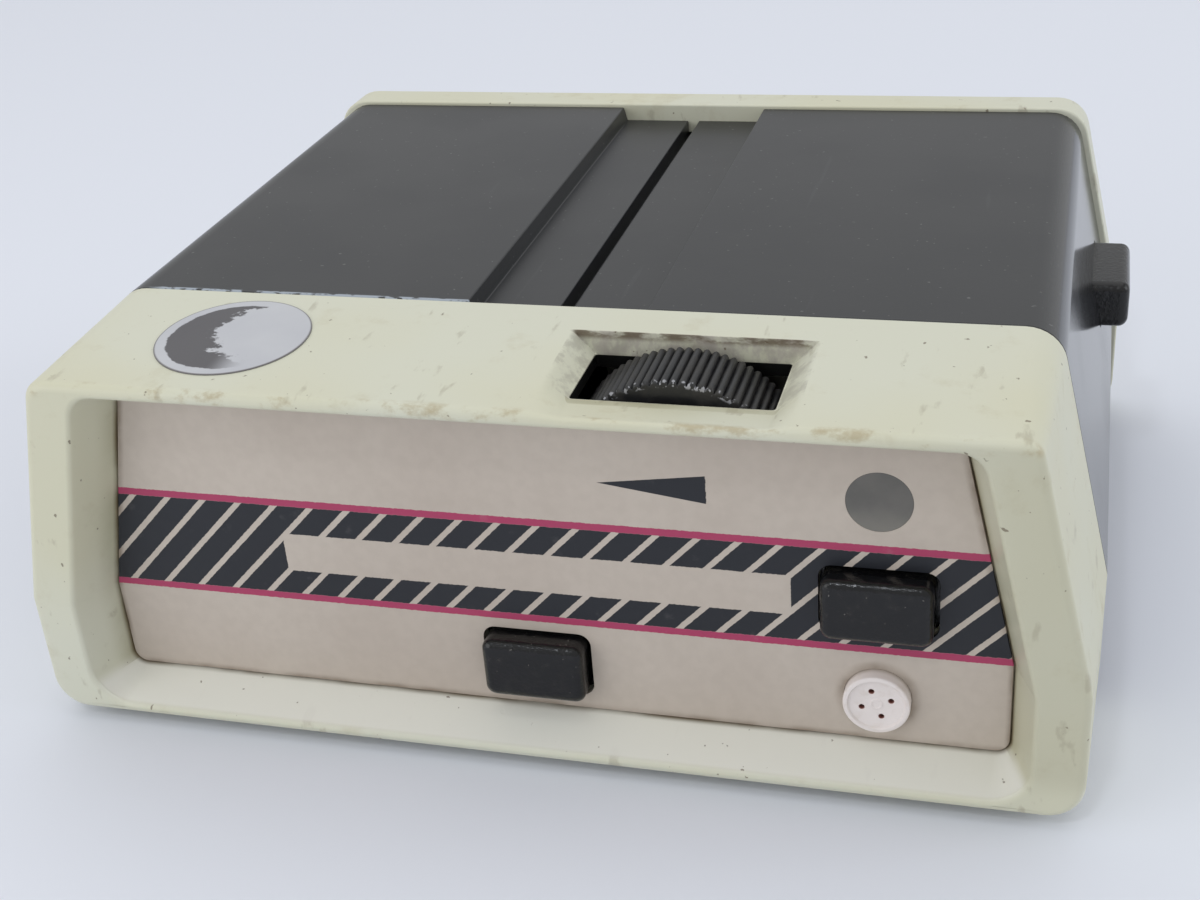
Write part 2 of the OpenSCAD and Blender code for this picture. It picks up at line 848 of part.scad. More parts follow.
module talk_button() { color(black) at_origin() front_button(column_x, talk_z); }
module talk_plunger() { color("white") at_origin() front_plunger(column_x, talk_z); }
module talk_spring() { color(steel) at_origin() front_spring(column_x, talk_z); }
module talk_switch() { color("#3a3d55") at_origin() front_switch(column_x, talk_z); }
module call_button() { color(black) at_origin() front_button(call_x, call_z); }
module call_plunger() { color("white") at_origin() front_plunger(call_x, call_z); }
module call_spring() { color(steel) at_origin() front_spring(call_x, call_z); }
module call_switch() { color("#3a3d55") at_origin() front_switch(call_x, call_z); }

// ---- Side button ----

module side_slab(x0, x1, w, h, r) {
    translate([x0, side_y, side_z]) rotate([90, 0, 90]) linear_extrude(x1 - x0)
        rounded_rect(w, h, r);
}

module side_button() {
    flange_back = side_flange_x - side_flange_t;
    color(black) at_origin() {
        hull() {
            side_slab(side_flange_x, side_out_x - side_round, side_len, side_h, side_round);
            side_slab(side_out_x - 0.3 * side_round, side_out_x - 0.3 * side_round + 0.01,
                      side_len - 0.6 * side_round, side_h - 0.6 * side_round, side_round);
            side_slab(side_out_x - 0.01, side_out_x, side_len - 1.8 * side_round,
                      side_h - 1.8 * side_round, side_round);
        }
        side_slab(flange_back, side_flange_x + 0.1, side_len + 2 * side_flange,
                  side_h + 2 * side_flange, side_round);
        rod_x(side_y, side_z, flange_back - stem_len, flange_back + over, stem_r);
    }
}

module side_plunger() {
    x1 = side_flange_x - side_flange_t - stem_len;
    color("white") at_origin() rod_x(side_y, side_z, x1 - plunger_len, x1, plunger_r);
}

module side_spring() {
    color(steel) at_origin() translate([side_switch_x, side_y, side_z]) rotate([0, 90, 0])
        coil_spring(spring_len, spring_turns);
}

module side_switch() {
    bore = stem_len + plunger_len + side_travel - spring_len + 0.5;
    color("#3a3d55") at_origin() difference() {
        block([side_switch_x - side_switch_d, side_y - switch_w / 2, board_top],
              [side_switch_x, side_y + switch_w / 2, board_top + side_switch_h]);
        rod_x(side_y, side_z, side_switch_x - bore, side_switch_x + over, plunger_r + fit);
    }
}

// ---- Volume wheel ----

module thumbwheel() {
    step = 360 / wheel_knurls;
    root_r = wheel_r - knurl_depth;
    teeth = [for (i = [0 : wheel_knurls - 1], k = [0 : 3])
        let (a = step * (i + [0.05, 0.35, 0.6, 0.8][k]), r = k < 2 ? wheel_r : root_r)
        r * [cos(a), sin(a)]];
    color(black) at_origin() translate([wheel_x, 0, wheel_z]) difference() {
        along_y(wheel_y, wheel_back) polygon(teeth);
        rod_y(0, 0, wheel_y - over, wheel_back + over, shaft_r + fit);
        rod_y(0, 0, wheel_y - over, wheel_y + 1, 0.6 * wheel_r);
    }
}

module volume_shaft() {
    color(steel) at_origin() rod_y(wheel_x, wheel_z, wheel_y + 1, pot_y + pot_d - 1.5, shaft_r);
}

module volume_pot() {
    color("#8f8a7c") at_origin() difference() {
        union() {
            rod_y(wheel_x, wheel_z, pot_y, pot_y + pot_d, pot_r);
            rod_y(wheel_x, wheel_z, nut_y - 0.4, pot_y + over, bushing_r);
            for (i = [-1 : 1])
                block([wheel_x - pot_r - tag_reach, pot_y + 1.5, wheel_z + i * tag_pitch - tag_w / 2],
                      [wheel_x - pot_r + 1.5, pot_y + 1.5 + tag_t,
                       wheel_z + i * tag_pitch + tag_w / 2]);
        }
        rod_y(wheel_x, wheel_z, nut_y - over, pot_y + pot_d - 1, shaft_r + fit);
    }
}

module volume_nut() {
    color(steel) at_origin() difference() {
        translate([wheel_x, bracket_y, wheel_z]) rotate([90, 0, 0])
            cylinder(h = nut_t, r = nut_r, $fn = 6);
        rod_y(wheel_x, wheel_z, nut_y - over, bracket_y + over, bushing_r + fit);
    }
}

module volume_bracket() {
    color(steel) at_origin() difference() {
        union() {
            block([wheel_x - bracket_hw, bracket_y, board_top],
                  [wheel_x + bracket_hw, pot_y, wheel_z + pot_r + 1.2]);
            block([wheel_x - bracket_hw, bracket_y, board_top],
                  [wheel_x + bracket_hw, bracket_back, board_top + bracket_t]);
        }
        rod_y(wheel_x, wheel_z, bracket_y - over, pot_y + over, bushing_r + fit);
        bracket_screw_positions() translate([0, 0, board_top - over])
            cylinder(h = bracket_t + 2 * over, r = bracket_screw_r + fit);
    }
}

module bracket_screw_positions() {
    for (side = [-1, 1]) translate([wheel_x + side * bracket_screw_dx, bracket_screw_y, 0]) children();
}

module bracket_screws() {
    color(steel) at_origin() bracket_screw_positions() {
        translate([0, 0, board_z - bracket_screw_tip])
            cylinder(h = bracket_screw_tip + board_t + bracket_t + 0.1, r = bracket_screw_r);
        translate([0, 0, board_top + bracket_t]) difference() {
            cylinder(h = bracket_head_h, r = bracket_head_r);
            translate([-3, -bracket_slot_w / 2, bracket_head_h - bracket_slot_d])
                cube([6, bracket_slot_w, 1]);
        }
    }
}

// ---- Boards ----

module switch_board() {
    color(board_green) at_origin() difference() {
        union() {
            block([sboard_left, board_y, sboard_bottom], [sboard_right, board_back_y, sboard_step]);
            block([sboard_arm_left, board_y, sboard_bottom],
                  [sboard_arm_right, board_back_y, sboard_top]);
        }
        for (p = post_points)
            rod_y(p[0], p[1], board_y - over, board_back_y + over, post_screw_r + fit);
    }
}

module switch_board_screws() {
    color(steel) at_origin() for (p = post_points) {
        rod_y(p[0], p[1], board_back_y - post_screw_len, board_back_y + 0.1, post_screw_r);
        difference() {
            rod_y(p[0], p[1], board_back_y, board_back_y + post_head_h, post_head_r);
            block([p[0] - post_r, board_back_y + post_head_h - post_slot_d, p[1] - post_slot_w / 2],
                  [p[0] + post_r, board_back_y + post_head_h + over, p[1] + post_slot_w / 2]);
        }
    }
}

// Flat cable: back from the switch board, round one bend and up to the main board
module ribbon_cable() {
    up = ribbon_up_y;
    inner = round_poly([[board_back_y, ribbon_z], [up - ribbon_t, ribbon_z], [up - ribbon_t, board_z],
                        [board_back_y, board_z]], [0.01, ribbon_bend, 0.01, 0.01]);
    outer = round_poly([[board_back_y, ribbon_z - ribbon_t], [up, ribbon_z - ribbon_t],
                        [up, board_z], [board_back_y, board_z]],
                       [0.01, ribbon_bend + ribbon_t, 0.01, 0.01]);
    color("#8d8f98") at_origin() translate([ribbon_x, 0, 0]) rotate([90, 0, 90])
        linear_extrude(ribbon_w) difference() {
            polygon(outer);
            polygon(inner);
            translate([board_back_y - 1, ribbon_z]) square([up - ribbon_t - board_back_y - 3, 20]);
        }
}

module main_board() {
    color(board_green) at_origin() difference() {
        block([-board_hw, board_front, board_z], [board_hw, board_back, board_top]);
        bracket_screw_positions() translate([0, 0, board_z - over])
            cylinder(h = board_t + 2 * over, r = bracket_screw_r + fit);
    }
}

// Power amplifier: a flat case with nine legs, standing against the heat sink
module amplifier_chip() {
    middle = (chip_legs - 1) / 2;
    color("#2b2b2e") at_origin() translate([chip_x, board_front + chip_y, board_top]) {
        translate([-chip_w / 2, -chip_t, chip_stand]) cube([chip_w, chip_t, chip_h]);
        for (i = [0 : chip_legs - 1])
            translate([(i - middle) * chip_leg_pitch - leg_w / 2, -(chip_t + leg_w) / 2, 0])
                cube([leg_w, leg_w, chip_stand + 0.1]);
    }
}

module heat_sink() {
    fin_pitch = (sink_w - sink_fin_t) / (sink_fins - 1);
    color("silver") at_origin() translate([chip_x - sink_w / 2, board_front + chip_y, board_top]) {
        cube([sink_w, sink_plate_t, sink_h]);
        for (i = [0 : sink_fins - 1]) translate([i * fin_pitch, sink_plate_t - 0.1, 0])
            cube([sink_fin_t, sink_fin_d, sink_h]);
    }
}

module line_transformer() {
    color("#6d6a66") at_origin() translate([core_x, board_front + core_y, board_top]) {
        difference() {
            translate([-core_w / 2, -core_d / 2, 0]) cube([core_w, core_d, core_h]);
            for (side = [-1, 1])
                translate([side * core_window_x - core_window_w / 2, -core_d / 2 - over, core_window_z])
                    cube([core_window_w, core_d + 2 * over, core_window_h]);
        }
        translate([-winding_w / 2, -winding_d / 2, core_window_z + 0.1])
            cube([winding_w, winding_d, winding_h]);
    }
}

// Standing can with a dished top
module standing_can(can) {
    translate([can[0], board_front + can[1], board_top]) difference() {
        cylinder(h = can[3], r = can[2]);
        translate([0, 0, can[3] - can_dent]) cylinder(h = over, r = can[2] - can_rim);
    }
}

module large_capacitors() {
    color("#2f3e66") at_origin() for (can = large_cans) standing_can(can);
}

module small_capacitors() {
    color("#27508a") at_origin() for (can = small_cans) standing_can(can);
}

// Each resistor stands on two short leads, which run on through its body as one wire
module resistors() {
    span = resistor_len + 2 * resistor_reach;
    color("#c9a878") at_origin() for (i = [0 : resistor_count - 1])
        translate([resistor_x + resistor_pitch * i, board_front + resistor_y, board_top]) {
            translate([0, 0, resistor_z]) rotate([-90, 0, 0])
                cylinder(h = resistor_len, r = resistor_r, $fn = 24);
            for (y = [-resistor_reach, resistor_len + resistor_reach - 0.4])
                translate([-resistor_lead / 2, y, 0])
                    cube([resistor_lead, 0.4, resistor_z + resistor_lead / 2]);
            translate([-resistor_lead / 2, -resistor_reach, resistor_z - resistor_lead / 2])
                cube([resistor_lead, span, resistor_lead]);
        }
}

// Jack on the main board, with its nose in the back plate of the rear cover
module jack(x) {
    front = plate_y - jack_d;
    difference() {
        union() {
            block([x - jack_w / 2, front, board_top], [x + jack_w / 2, plate_y, board_top + jack_h]);
            rod_y(x, jack_z, plate_y - over, total_len - jack_nose_sunk, jack_nose_r);
        }
        rod_y(x, jack_z, total_len - jack_nose_sunk - jack_bore_len, total_len + 1, jack_bore_r);
    }
}

module dc_jack() { color("#1c1c1e") at_origin() jack(dc_x); }
module line_socket() { color("#1c1c1e") at_origin() jack(line_x); }

// ---- Loudspeaker ----

module speaker_screw_positions() {
    for (i = [0 : 3]) translate([0, speaker_y, 0]) rotate([0, 0, 90 * i + 45])
        translate([speaker_screw_circle, 0, 0]) children();
}

module speaker_gasket() {
    color("#4a4744") at_origin() difference() {
        translate([0, speaker_y, wall]) difference() {
            cylinder(h = gasket_t, r = speaker_r, $fn = 72);
            translate([0, 0, -over]) cylinder(h = gasket_t + 2 * over, r = speaker_in_r, $fn = 72);
        }
        speaker_screw_positions() cylinder(h = wall + gasket_t + over, r = speaker_screw_r + fit);
    }
}

// Pressed steel basket: a flange, a cup with four windows and a plate under the magnet
module speaker_basket() {
    color("#8b8f94") at_origin() difference() {
        translate([0, speaker_y, basket_z]) difference() {
            rotate_extrude($fn = 72) polygon([
                [speaker_in_r, 0], [speaker_r, 0], [speaker_r, basket_t],
                [speaker_in_r, basket_t], [magnet_r + 1, basket_depth], [coil_r + 1, basket_depth],
                [coil_r + 1, basket_depth - basket_sheet], [magnet_r, basket_depth - basket_sheet],
                [speaker_in_r - 1, basket_t], [speaker_in_r - 1, 0]
            ]);
            for (i = [0 : 3]) rotate([0, 0, 90 * i])
                translate([magnet_r - 0.5, -basket_window_w / 2, 2.2])
                    cube([8, basket_window_w, basket_window_h]);
        }
        speaker_screw_positions() translate([0, 0, wall])
            cylinder(h = gasket_t + basket_t + over, r = speaker_screw_r + fit);
    }
}

// Paper cone with its dust cap and the former of the voice coil
module speaker_cone() {
    former_top = basket_depth + 3;
    color("#2a2825") at_origin() translate([0, speaker_y, basket_z]) rotate_extrude($fn = 72) polygon([
        [cone_hang, 0.4], [cone_hang, 0.4 + cone_t], [cone_hang - 3, 1.2 + cone_t],
        [coil_r + 0.4, 7.6], [coil_r + 0.4, former_top], [coil_r, former_top], [coil_r, 6.8],
        [0, 4.9 + cone_t], [0, 4.9], [coil_r, 6.2], [cone_hang - 3.2, 1.2]
    ]);
}

module speaker_magnet() {
    gap_in = coil_r - 0.3;
    gap_out = coil_r + 0.9;
    color("#57595c") at_origin() translate([0, speaker_y, magnet_z]) difference() {
        cylinder(h = magnet_t, r = magnet_r);
        difference() {
            translate([0, 0, -over]) cylinder(h = magnet_t - magnet_cap_t + over, r = gap_out);
            translate([0, 0, -1]) cylinder(h = magnet_t + 1, r = gap_in);
        }
    }
}

module speaker_screws() {
    color(steel) at_origin() speaker_screw_positions() {
        translate([0, 0, -0.1]) cylinder(h = basket_z + basket_t + speaker_nut_t + 0.6, r = speaker_screw_r);
        translate([0, 0, -speaker_head_h]) difference() {
            cylinder(h = speaker_head_h, r = speaker_head_r);
            translate([-3, -speaker_slot_w / 2, -over]) cube([6, speaker_slot_w, over + 0.5]);
        }
    }
}

module speaker_nuts() {
    color(steel) at_origin() speaker_screw_positions() translate([0, 0, basket_z + basket_t])
        difference() {
            cylinder(h = speaker_nut_t, r = speaker_nut_r, $fn = 6);
            translate([0, 0, -over]) cylinder(h = speaker_nut_t + 2 * over, r = speaker_screw_r + fit);
        }
}

// Two stiff leads from the basket's tag strip to the underside of the main board
module speaker_wires() {
    color("#a33a30") at_origin() for (side = [-1, 1])
        translate([side * wire_x, speaker_y + speaker_in_r + 1.5, basket_z + basket_t])
            cylinder(h = board_z - basket_z - basket_t, r = wire_r, $fn = 24);
}

// ---- Fastening and feet ----

module tie_screws() {
    color(steel) at_origin() for (p = tie_points) {
        rod_y(p[0], p[1], tie_tip_y, tie_head_y + 0.1, tie_r);
        difference() {
            rod_y(p[0], p[1], tie_head_y, tie_head_y + tie_head_h, tie_head_r);
            block([p[0] - 4, tie_head_y + tie_head_h - tie_slot_d, p[1] - tie_slot_w / 2],
                  [p[0] + 4, tie_head_y + tie_head_h + over, p[1] + tie_slot_w / 2]);
        }
    }
}

module brass_inserts() {
    color(brass) at_origin() for (p = tie_points) difference() {
        rod_y(p[0], p[1], insert_y, bezel_d, insert_r);
        rod_y(p[0], p[1], insert_y - over, bezel_d + over, tie_r + fit);
    }
}

module foot(side, y) {
    color("#202022") at_origin() translate([side * foot_x, y, -foot_h])
        cylinder(h = foot_h, r = foot_r);
}

module foot_front_left() { foot(-1, foot_front_y); }
module foot_front_right() { foot(1, foot_front_y); }
module foot_rear_left() { foot(-1, foot_rear_y); }
module foot_rear_right() { foot(1, foot_rear_y); }

module at_origin() {
    translate(origin_shift) children();
}

sleeve();
front_bezel();
rear_cover();
panel_label();
round_sticker();
lamp_window();
call_lamp();
mic_cap();
mic_boot();
mic_capsule();
talk_button();
talk_plunger();
talk_spring();
talk_switch();
call_button();
call_plunger();
call_spring();
call_switch();
side_button();
side_plunger();
side_spring();
side_switch();
thumbwheel();
volume_shaft();
volume_pot();
volume_nut();
volume_bracket();
bracket_screws();
switch_board();
switch_board_screws();
ribbon_cable();
main_board();
amplifier_chip();
heat_sink();
line_transformer();
large_capacitors();
small_capacitors();
resistors();
dc_jack();
line_socket();
speaker_gasket();
speaker_basket();
speaker_cone();
speaker_magnet();
speaker_screws();
speaker_nuts();
speaker_wires();
tie_screws();
brass_inserts();
foot_front_left();
foot_front_right();
foot_rear_left();
foot_rear_right();
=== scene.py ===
"""A vintage desk intercom: black aluminium sleeve, cream front bezel and rear cover.

The object is put together in this file as it is on the bench: the sleeve first, then the
bezel and the printed panel with its controls, the rear cover, and last what is inside.
Sizes are millimetres from the case's own datum: X from its middle, Y back from its front
face and Z up from its underside. The function metres() moves them to the frame.
"""
import math

import bmesh
import bpy
import numpy as np
from mathutils import Matrix, Vector


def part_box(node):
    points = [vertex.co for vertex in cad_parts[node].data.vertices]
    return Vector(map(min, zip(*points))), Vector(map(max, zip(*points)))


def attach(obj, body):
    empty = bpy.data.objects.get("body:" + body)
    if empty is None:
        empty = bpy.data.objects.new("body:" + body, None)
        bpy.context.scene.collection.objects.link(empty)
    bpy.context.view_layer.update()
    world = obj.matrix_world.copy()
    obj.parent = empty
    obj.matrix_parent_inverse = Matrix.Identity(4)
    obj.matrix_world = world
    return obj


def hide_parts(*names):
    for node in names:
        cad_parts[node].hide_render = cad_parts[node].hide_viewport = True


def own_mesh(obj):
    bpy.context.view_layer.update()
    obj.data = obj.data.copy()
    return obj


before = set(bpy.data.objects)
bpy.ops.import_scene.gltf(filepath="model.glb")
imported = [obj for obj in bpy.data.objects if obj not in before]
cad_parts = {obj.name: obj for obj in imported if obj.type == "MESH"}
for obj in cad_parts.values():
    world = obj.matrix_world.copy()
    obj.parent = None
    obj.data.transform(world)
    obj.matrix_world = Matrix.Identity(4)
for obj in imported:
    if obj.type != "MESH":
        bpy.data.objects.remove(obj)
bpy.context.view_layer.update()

# ---------------------------------------------------------------------------
# Camera, floor and light
# The unit stands on a pale table under soft light. The camera is where the photograph's
# was, solved from the case's edges, and leans a little to one side as a hand-held one does.
# ---------------------------------------------------------------------------

bezel_low, bezel_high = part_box("front_bezel")
MM = 0.001
DATUM = np.array([(bezel_low[0] + bezel_high[0]) / 2, bezel_low[1], bezel_low[2]])


def metres(points):
    """Millimetres from the case's datum, as metres in the frame: datum + MM p."""
    return DATUM + MM * np.asarray(points, float)


EYE = (55.4, -143.0, 120.9)
PITCH, YAW, ROLL = math.radians(28.29), math.radians(17.21), math.radians(-4.59)
LENS_MM, SENSOR_MM = 51.34, 36

forward = Vector((-math.sin(YAW) * math.cos(PITCH), math.cos(YAW) * math.cos(PITCH), -math.sin(PITCH)))
level = forward.cross(Vector((0, 0, 1))).normalized()
right = math.cos(ROLL) * level + math.sin(ROLL) * level.cross(forward)
camera_data = bpy.data.cameras.new("camera")
camera_data.sensor_width = SENSOR_MM
camera_data.lens = LENS_MM
camera_data.clip_start = 0.005
camera = bpy.data.objects.new("camera", camera_data)
camera.matrix_world = Matrix.Translation(Vector(metres(EYE))) @ Matrix(
    (right, right.cross(forward), -forward)).transposed().to_4x4()
bpy.context.scene.collection.objects.link(camera)
bpy.context.scene.camera = camera
bpy.context.scene.view_settings.view_transform = "Standard"


def srgb(red, green, blue):
    """A colour as the eye reads it, 0 to 255, as linear light: ((c + 0.055) / 1.055) ** 2.4."""
    c = np.array([red, green, blue]) / 255
    return (*np.where(c <= 0.04045, c / 12.92, ((c + 0.055) / 1.055) ** 2.4), 1.0)


def new_node(tree, kind, inputs=(), **settings):
    """One shader node. inputs maps a socket's name or number to a value or another socket."""
    node = tree.nodes.new(kind)
    for name, value in settings.items():
        setattr(node, name, value)
    for name, value in dict(inputs).items():
        if isinstance(value, bpy.types.NodeSocket):
            tree.links.new(value, node.inputs[name])
        else:
            node.inputs[name].default_value = value
    return node


def new_material(name, colour, roughness, **sockets):
    """A Principled material with constants on its sockets: (material, tree, shader)."""
    material = bpy.data.materials.new(name)
    material.use_nodes = True
    material.diffuse_color = colour
    shader = material.node_tree.nodes["Principled BSDF"]
    shader.inputs["Base Color"].default_value = colour
    shader.inputs["Roughness"].default_value = roughness
    for socket, value in sockets.items():
        shader.inputs[socket.replace("_", " ")].default_value = value
    return material, material.node_tree, shader


TABLE = srgb(229, 232, 241)
table_finish, _, _ = new_material("table_top", TABLE, 0.75)
TABLE_HALF = 3.0
table_mesh = bpy.data.meshes.new("table")
table_mesh.from_pydata([(-TABLE_HALF, -TABLE_HALF, 0), (TABLE_HALF, -TABLE_HALF, 0),
                        (TABLE_HALF, TABLE_HALF, 0), (-TABLE_HALF, TABLE_HALF, 0)], [], [(0, 1, 2, 3)])
table_mesh.materials.append(table_finish)
table = bpy.data.objects.new("table", table_mesh)
bpy.context.scene.collection.objects.link(table)

world = bpy.data.worlds.new("soft_room")
world.use_nodes = True
world.node_tree.nodes["Background"].inputs["Color"].default_value = (0.97, 0.985, 1.0, 1)
world.node_tree.nodes["Background"].inputs["Strength"].default_value = 0.64
bpy.context.scene.world = world


def area_light(name, place, aim, size, watts, colour=(1, 1, 1)):
    """A square lamp at place, turned to face aim, both in metres."""
    data = bpy.data.lights.new(name, "AREA")
    data.size = size
    data.energy = watts
    data.color = colour
    lamp = bpy.data.objects.new(name, data)
    lamp.location = place
    lamp.rotation_euler = (Vector(aim) - Vector(place)).to_track_quat("-Z", "Y").to_euler()
    bpy.context.scene.collection.objects.link(lamp)


area_light("overhead_softbox", (-0.05, 0.3, 1.1), (0, 0, 0), 1.3, 2.9)
area_light("left_softbox", (-0.34, -0.33, 0.18), (0, 0, 0.02), 0.3, 0.44)
area_light("window_glint", (-0.13, -0.62, 0.92), (0, 0, 0.02), 0.1, 0.9, (0.90, 0.95, 1.0))
area_light("right_fill", (0.9, 0.1, 0.4), (0, 0, 0.02), 0.5, 1.6, (0.90, 0.95, 1.0))

# ---------------------------------------------------------------------------
# Sleeve
# An aluminium extrusion painted black, satin on top and polished at the sides. A shallow
# channel with a slot runs along its top. It is drawn as one profile carried along Y.
# ---------------------------------------------------------------------------

CASE_HIGH = 45.0
WAIST_HALF = 61.0
TOP_HALF = 54.5
WAIST_HIGH = 15.5
SLEEVE_FRONT, SLEEVE_BACK = 23.8, 95.5
LEAN = (WAIST_HALF - TOP_HALF) / (CASE_HIGH - WAIST_HIGH)
LEAN_COS = math.cos(math.atan(LEAN))
WALL = 1.8
TOP_RADIUS, FOLD_RADIUS, BOTTOM_RADIUS = 4.5, 2.0, 4.0


def case_corners(side, top, bottom):
    """The case's six corners, from the upper right clockwise, moved in by side, top and bottom."""
    half = WAIST_HALF - side
    high = CASE_HIGH - top
    upper = TOP_HALF + top * LEAN - side / LEAN_COS
    fold = CASE_HIGH - (half - TOP_HALF + side / LEAN_COS) / LEAN
    return np.array([(upper, high), (half, fold), (half, bottom),
                     (-half, bottom), (-half, fold), (-upper, high)])


def unit(v):
    """Vectors along the last axis, scaled to length 1."""
    return v / np.linalg.norm(v, axis=-1, keepdims=True)


def arcs(corners, radii, steps=10):
    """Rounds every corner of a closed outline: centre + r (cos a, sin a), from one tangent to the other."""
    c = np.asarray(corners, float)
    r = np.maximum(np.broadcast_to(radii, len(c)), 1e-4)[:, None]
    to_last, to_next = unit(np.roll(c, 1, 0) - c), unit(np.roll(c, -1, 0) - c)
    half = np.arccos(np.clip((to_last * to_next).sum(1), -1, 1))[:, None] / 2
    centre = c + unit(to_last + to_next) * r / np.sin(half)
    first = c + to_last * r / np.tan(half) - centre
    last = c + to_next * r / np.tan(half) - centre
    start = np.arctan2(first[:, 1], first[:, 0])
    turn = np.arctan2(last[:, 1], last[:, 0]) - start
    turn = (turn + math.pi) % (2 * math.pi) - math.pi
    a = start[:, None] + turn[:, None] * np.linspace(0, 1, steps + 1)
    return centre[:, None] + r[:, :, None] * np.stack([np.cos(a), np.sin(a)], -1)


def outline(corners, radii, steps=10):
    """A closed loop that runs round the rounded corners, in their order."""
    return arcs(corners, radii, steps).reshape(-1, 2)


def inset_loop(loop, distance):
    """Moves each point of a clockwise loop inwards, square to the chord between its neighbours."""
    chord = unit(np.roll(loop, -1, 0) - np.roll(loop, 1, 0))
    return loop + distance * np.column_stack([chord[:, 1], -chord[:, 0]])


def at_depth(loop, y):
    """A flat X and Z loop as points at depth y."""
    return np.column_stack([loop[:, 0], np.full(len(loop), float(y)), loop[:, 1]])


def at_height(loop, z):
    """A flat X and Y loop as points at height z."""
    return np.column_stack([loop, np.full(len(loop), float(z))])


def link_piece(name, mesh, finish, body, slot, *replaced):
    """Gives a mesh its material and puts it into the scene, on a body and in place of CAD nodes."""
    mesh.materials.clear()
    mesh.materials.append(finish)
    piece = bpy.data.objects.new(name, mesh)
    bpy.context.scene.collection.objects.link(piece)
    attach(piece, body)
    if replaced:
        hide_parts(*replaced)
    return piece


def skin(name, loops, closed=False, smooth=40):
    """A mesh over a stack of closed loops with equal counts: point (i, j) joins (i + 1, j + 1).
    The first and last loop get a flat face each, or are joined to each other if closed."""
    loops = np.asarray(loops, float)
    rows, count = loops.shape[:2]
    last = rows if closed else rows - 1
    i, j = np.meshgrid(np.arange(last), np.arange(count), indexing="ij")
    i2, j2 = (i + 1) % rows, (j + 1) % count
    quads = np.stack([i * count + j, i * count + j2, i2 * count + j2, i2 * count + j], -1)
    faces = quads.reshape(-1, 4).tolist()
    if not closed:
        faces.append(list(range(count))[::-1])
        faces.append(list(range((rows - 1) * count, rows * count)))
    mesh = bpy.data.meshes.new(name)
    mesh.from_pydata(metres(loops.reshape(-1, 3)).tolist(), [], faces)
    return tidy_mesh(mesh, smooth)


def tidy_mesh(mesh, smooth=40):
    """Merges doubles, turns all faces outwards and smooths across edges flatter than the angle."""
    work = bmesh.new()
    work.from_mesh(mesh)
    bmesh.ops.remove_doubles(work, verts=work.verts, dist=1e-7)
    bmesh.ops.recalc_face_normals(work, faces=work.faces)
    work.to_mesh(mesh)
    work.free()
    mesh.polygons.foreach_set("use_smooth", np.ones(len(mesh.polygons), bool))
    mesh.set_sharp_from_angle(angle=math.radians(smooth))
    return mesh


def carve(mesh, cutters, operation="DIFFERENCE", smooth=40):
    """Cuts the cutter meshes out of a mesh, or joins them to it, with exact booleans."""
    body = bpy.data.objects.new("carving", mesh)
    bpy.context.scene.collection.objects.link(body)
    tools = [bpy.data.objects.new("cutter", cutter) for cutter in cutters]
    for tool in tools:
        bpy.context.scene.collection.objects.link(tool)
        modifier = body.modifiers.new("carve", "BOOLEAN")
        modifier.operation = operation
        modifier.solver = "EXACT"
        modifier.object = tool
    graph = bpy.context.evaluated_depsgraph_get()
    result = bpy.data.meshes.new_from_object(body.evaluated_get(graph))
    result.name = mesh.name
    for leftover in [body, *tools]:
        bpy.data.objects.remove(leftover)
    return tidy_mesh(result, smooth)


def joined(name, meshes, smooth=40):
    """Several closed meshes as one."""
    work = bmesh.new()
    for mesh in meshes:
        work.from_mesh(mesh)
    result = bpy.data.meshes.new(name)
    work.to_mesh(result)
    work.free()
    return tidy_mesh(result, smooth)


def box_mesh(low, high):
    """A plain box between two corners, used as a cutter or a hidden web."""
    (x0, y0, z0), (x1, y1, z1) = low, high
    ring = np.array([(x0, z0), (x1, z0), (x1, z1), (x0, z1)])
    return skin("box", [at_depth(ring, y0), at_depth(ring, y1)])


POLE = 0.0005


def turned(name, profile, centre, axis="Y", turns=64):
    """A solid of revolution. profile holds (distance along the axis, radius) from end to end,
    and point (i, a) lies at radius r_i (cos a, sin a) round the axis through centre. An end on
    the axis has the radius POLE, so that its points merge but its ring stays a ring."""
    along, radius = np.asarray(profile, float).T
    a = np.linspace(0, 2 * math.pi, turns, endpoint=False)
    u = radius[:, None] * np.cos(a)
    v = radius[:, None] * np.sin(a)
    w = np.broadcast_to(along[:, None], u.shape)
    order = {"X": (w, u, v), "Y": (u, w, v), "Z": (u, v, w)}[axis]
    return skin(name, np.stack(order, -1) + np.asarray(centre, float))


def quarter(radius, steps=5):
    """Along and inset of a quarter round, from the flat end to the full side."""
    a = np.linspace(0, math.pi / 2, steps + 1)
    return np.column_stack([radius * (1 - np.sin(a)), radius * (1 - np.cos(a))])[::-1]


def quarter_turn(step):
    """Angles from 0 to 90 degrees by a step in degrees, for rounding an edge."""
    return np.radians(np.arange(0, 91, step))


CHANNEL_TOP, CHANNEL_FLOOR, CHANNEL_Z = 10.5, 10.0, CASE_HIGH - 1.9
SLOT_HALF, SLOT_Z = 0.8, CHANNEL_Z - 2.2
RIB_HALF, RIB_Z = 12.5, CHANNEL_Z - 3.6
GUIDE_X, GUIDE_LOW, GUIDE_HIGH, GUIDE_THICK = 55.8, 18.65, 21.75, 1.2
END_EDGE = 0.15

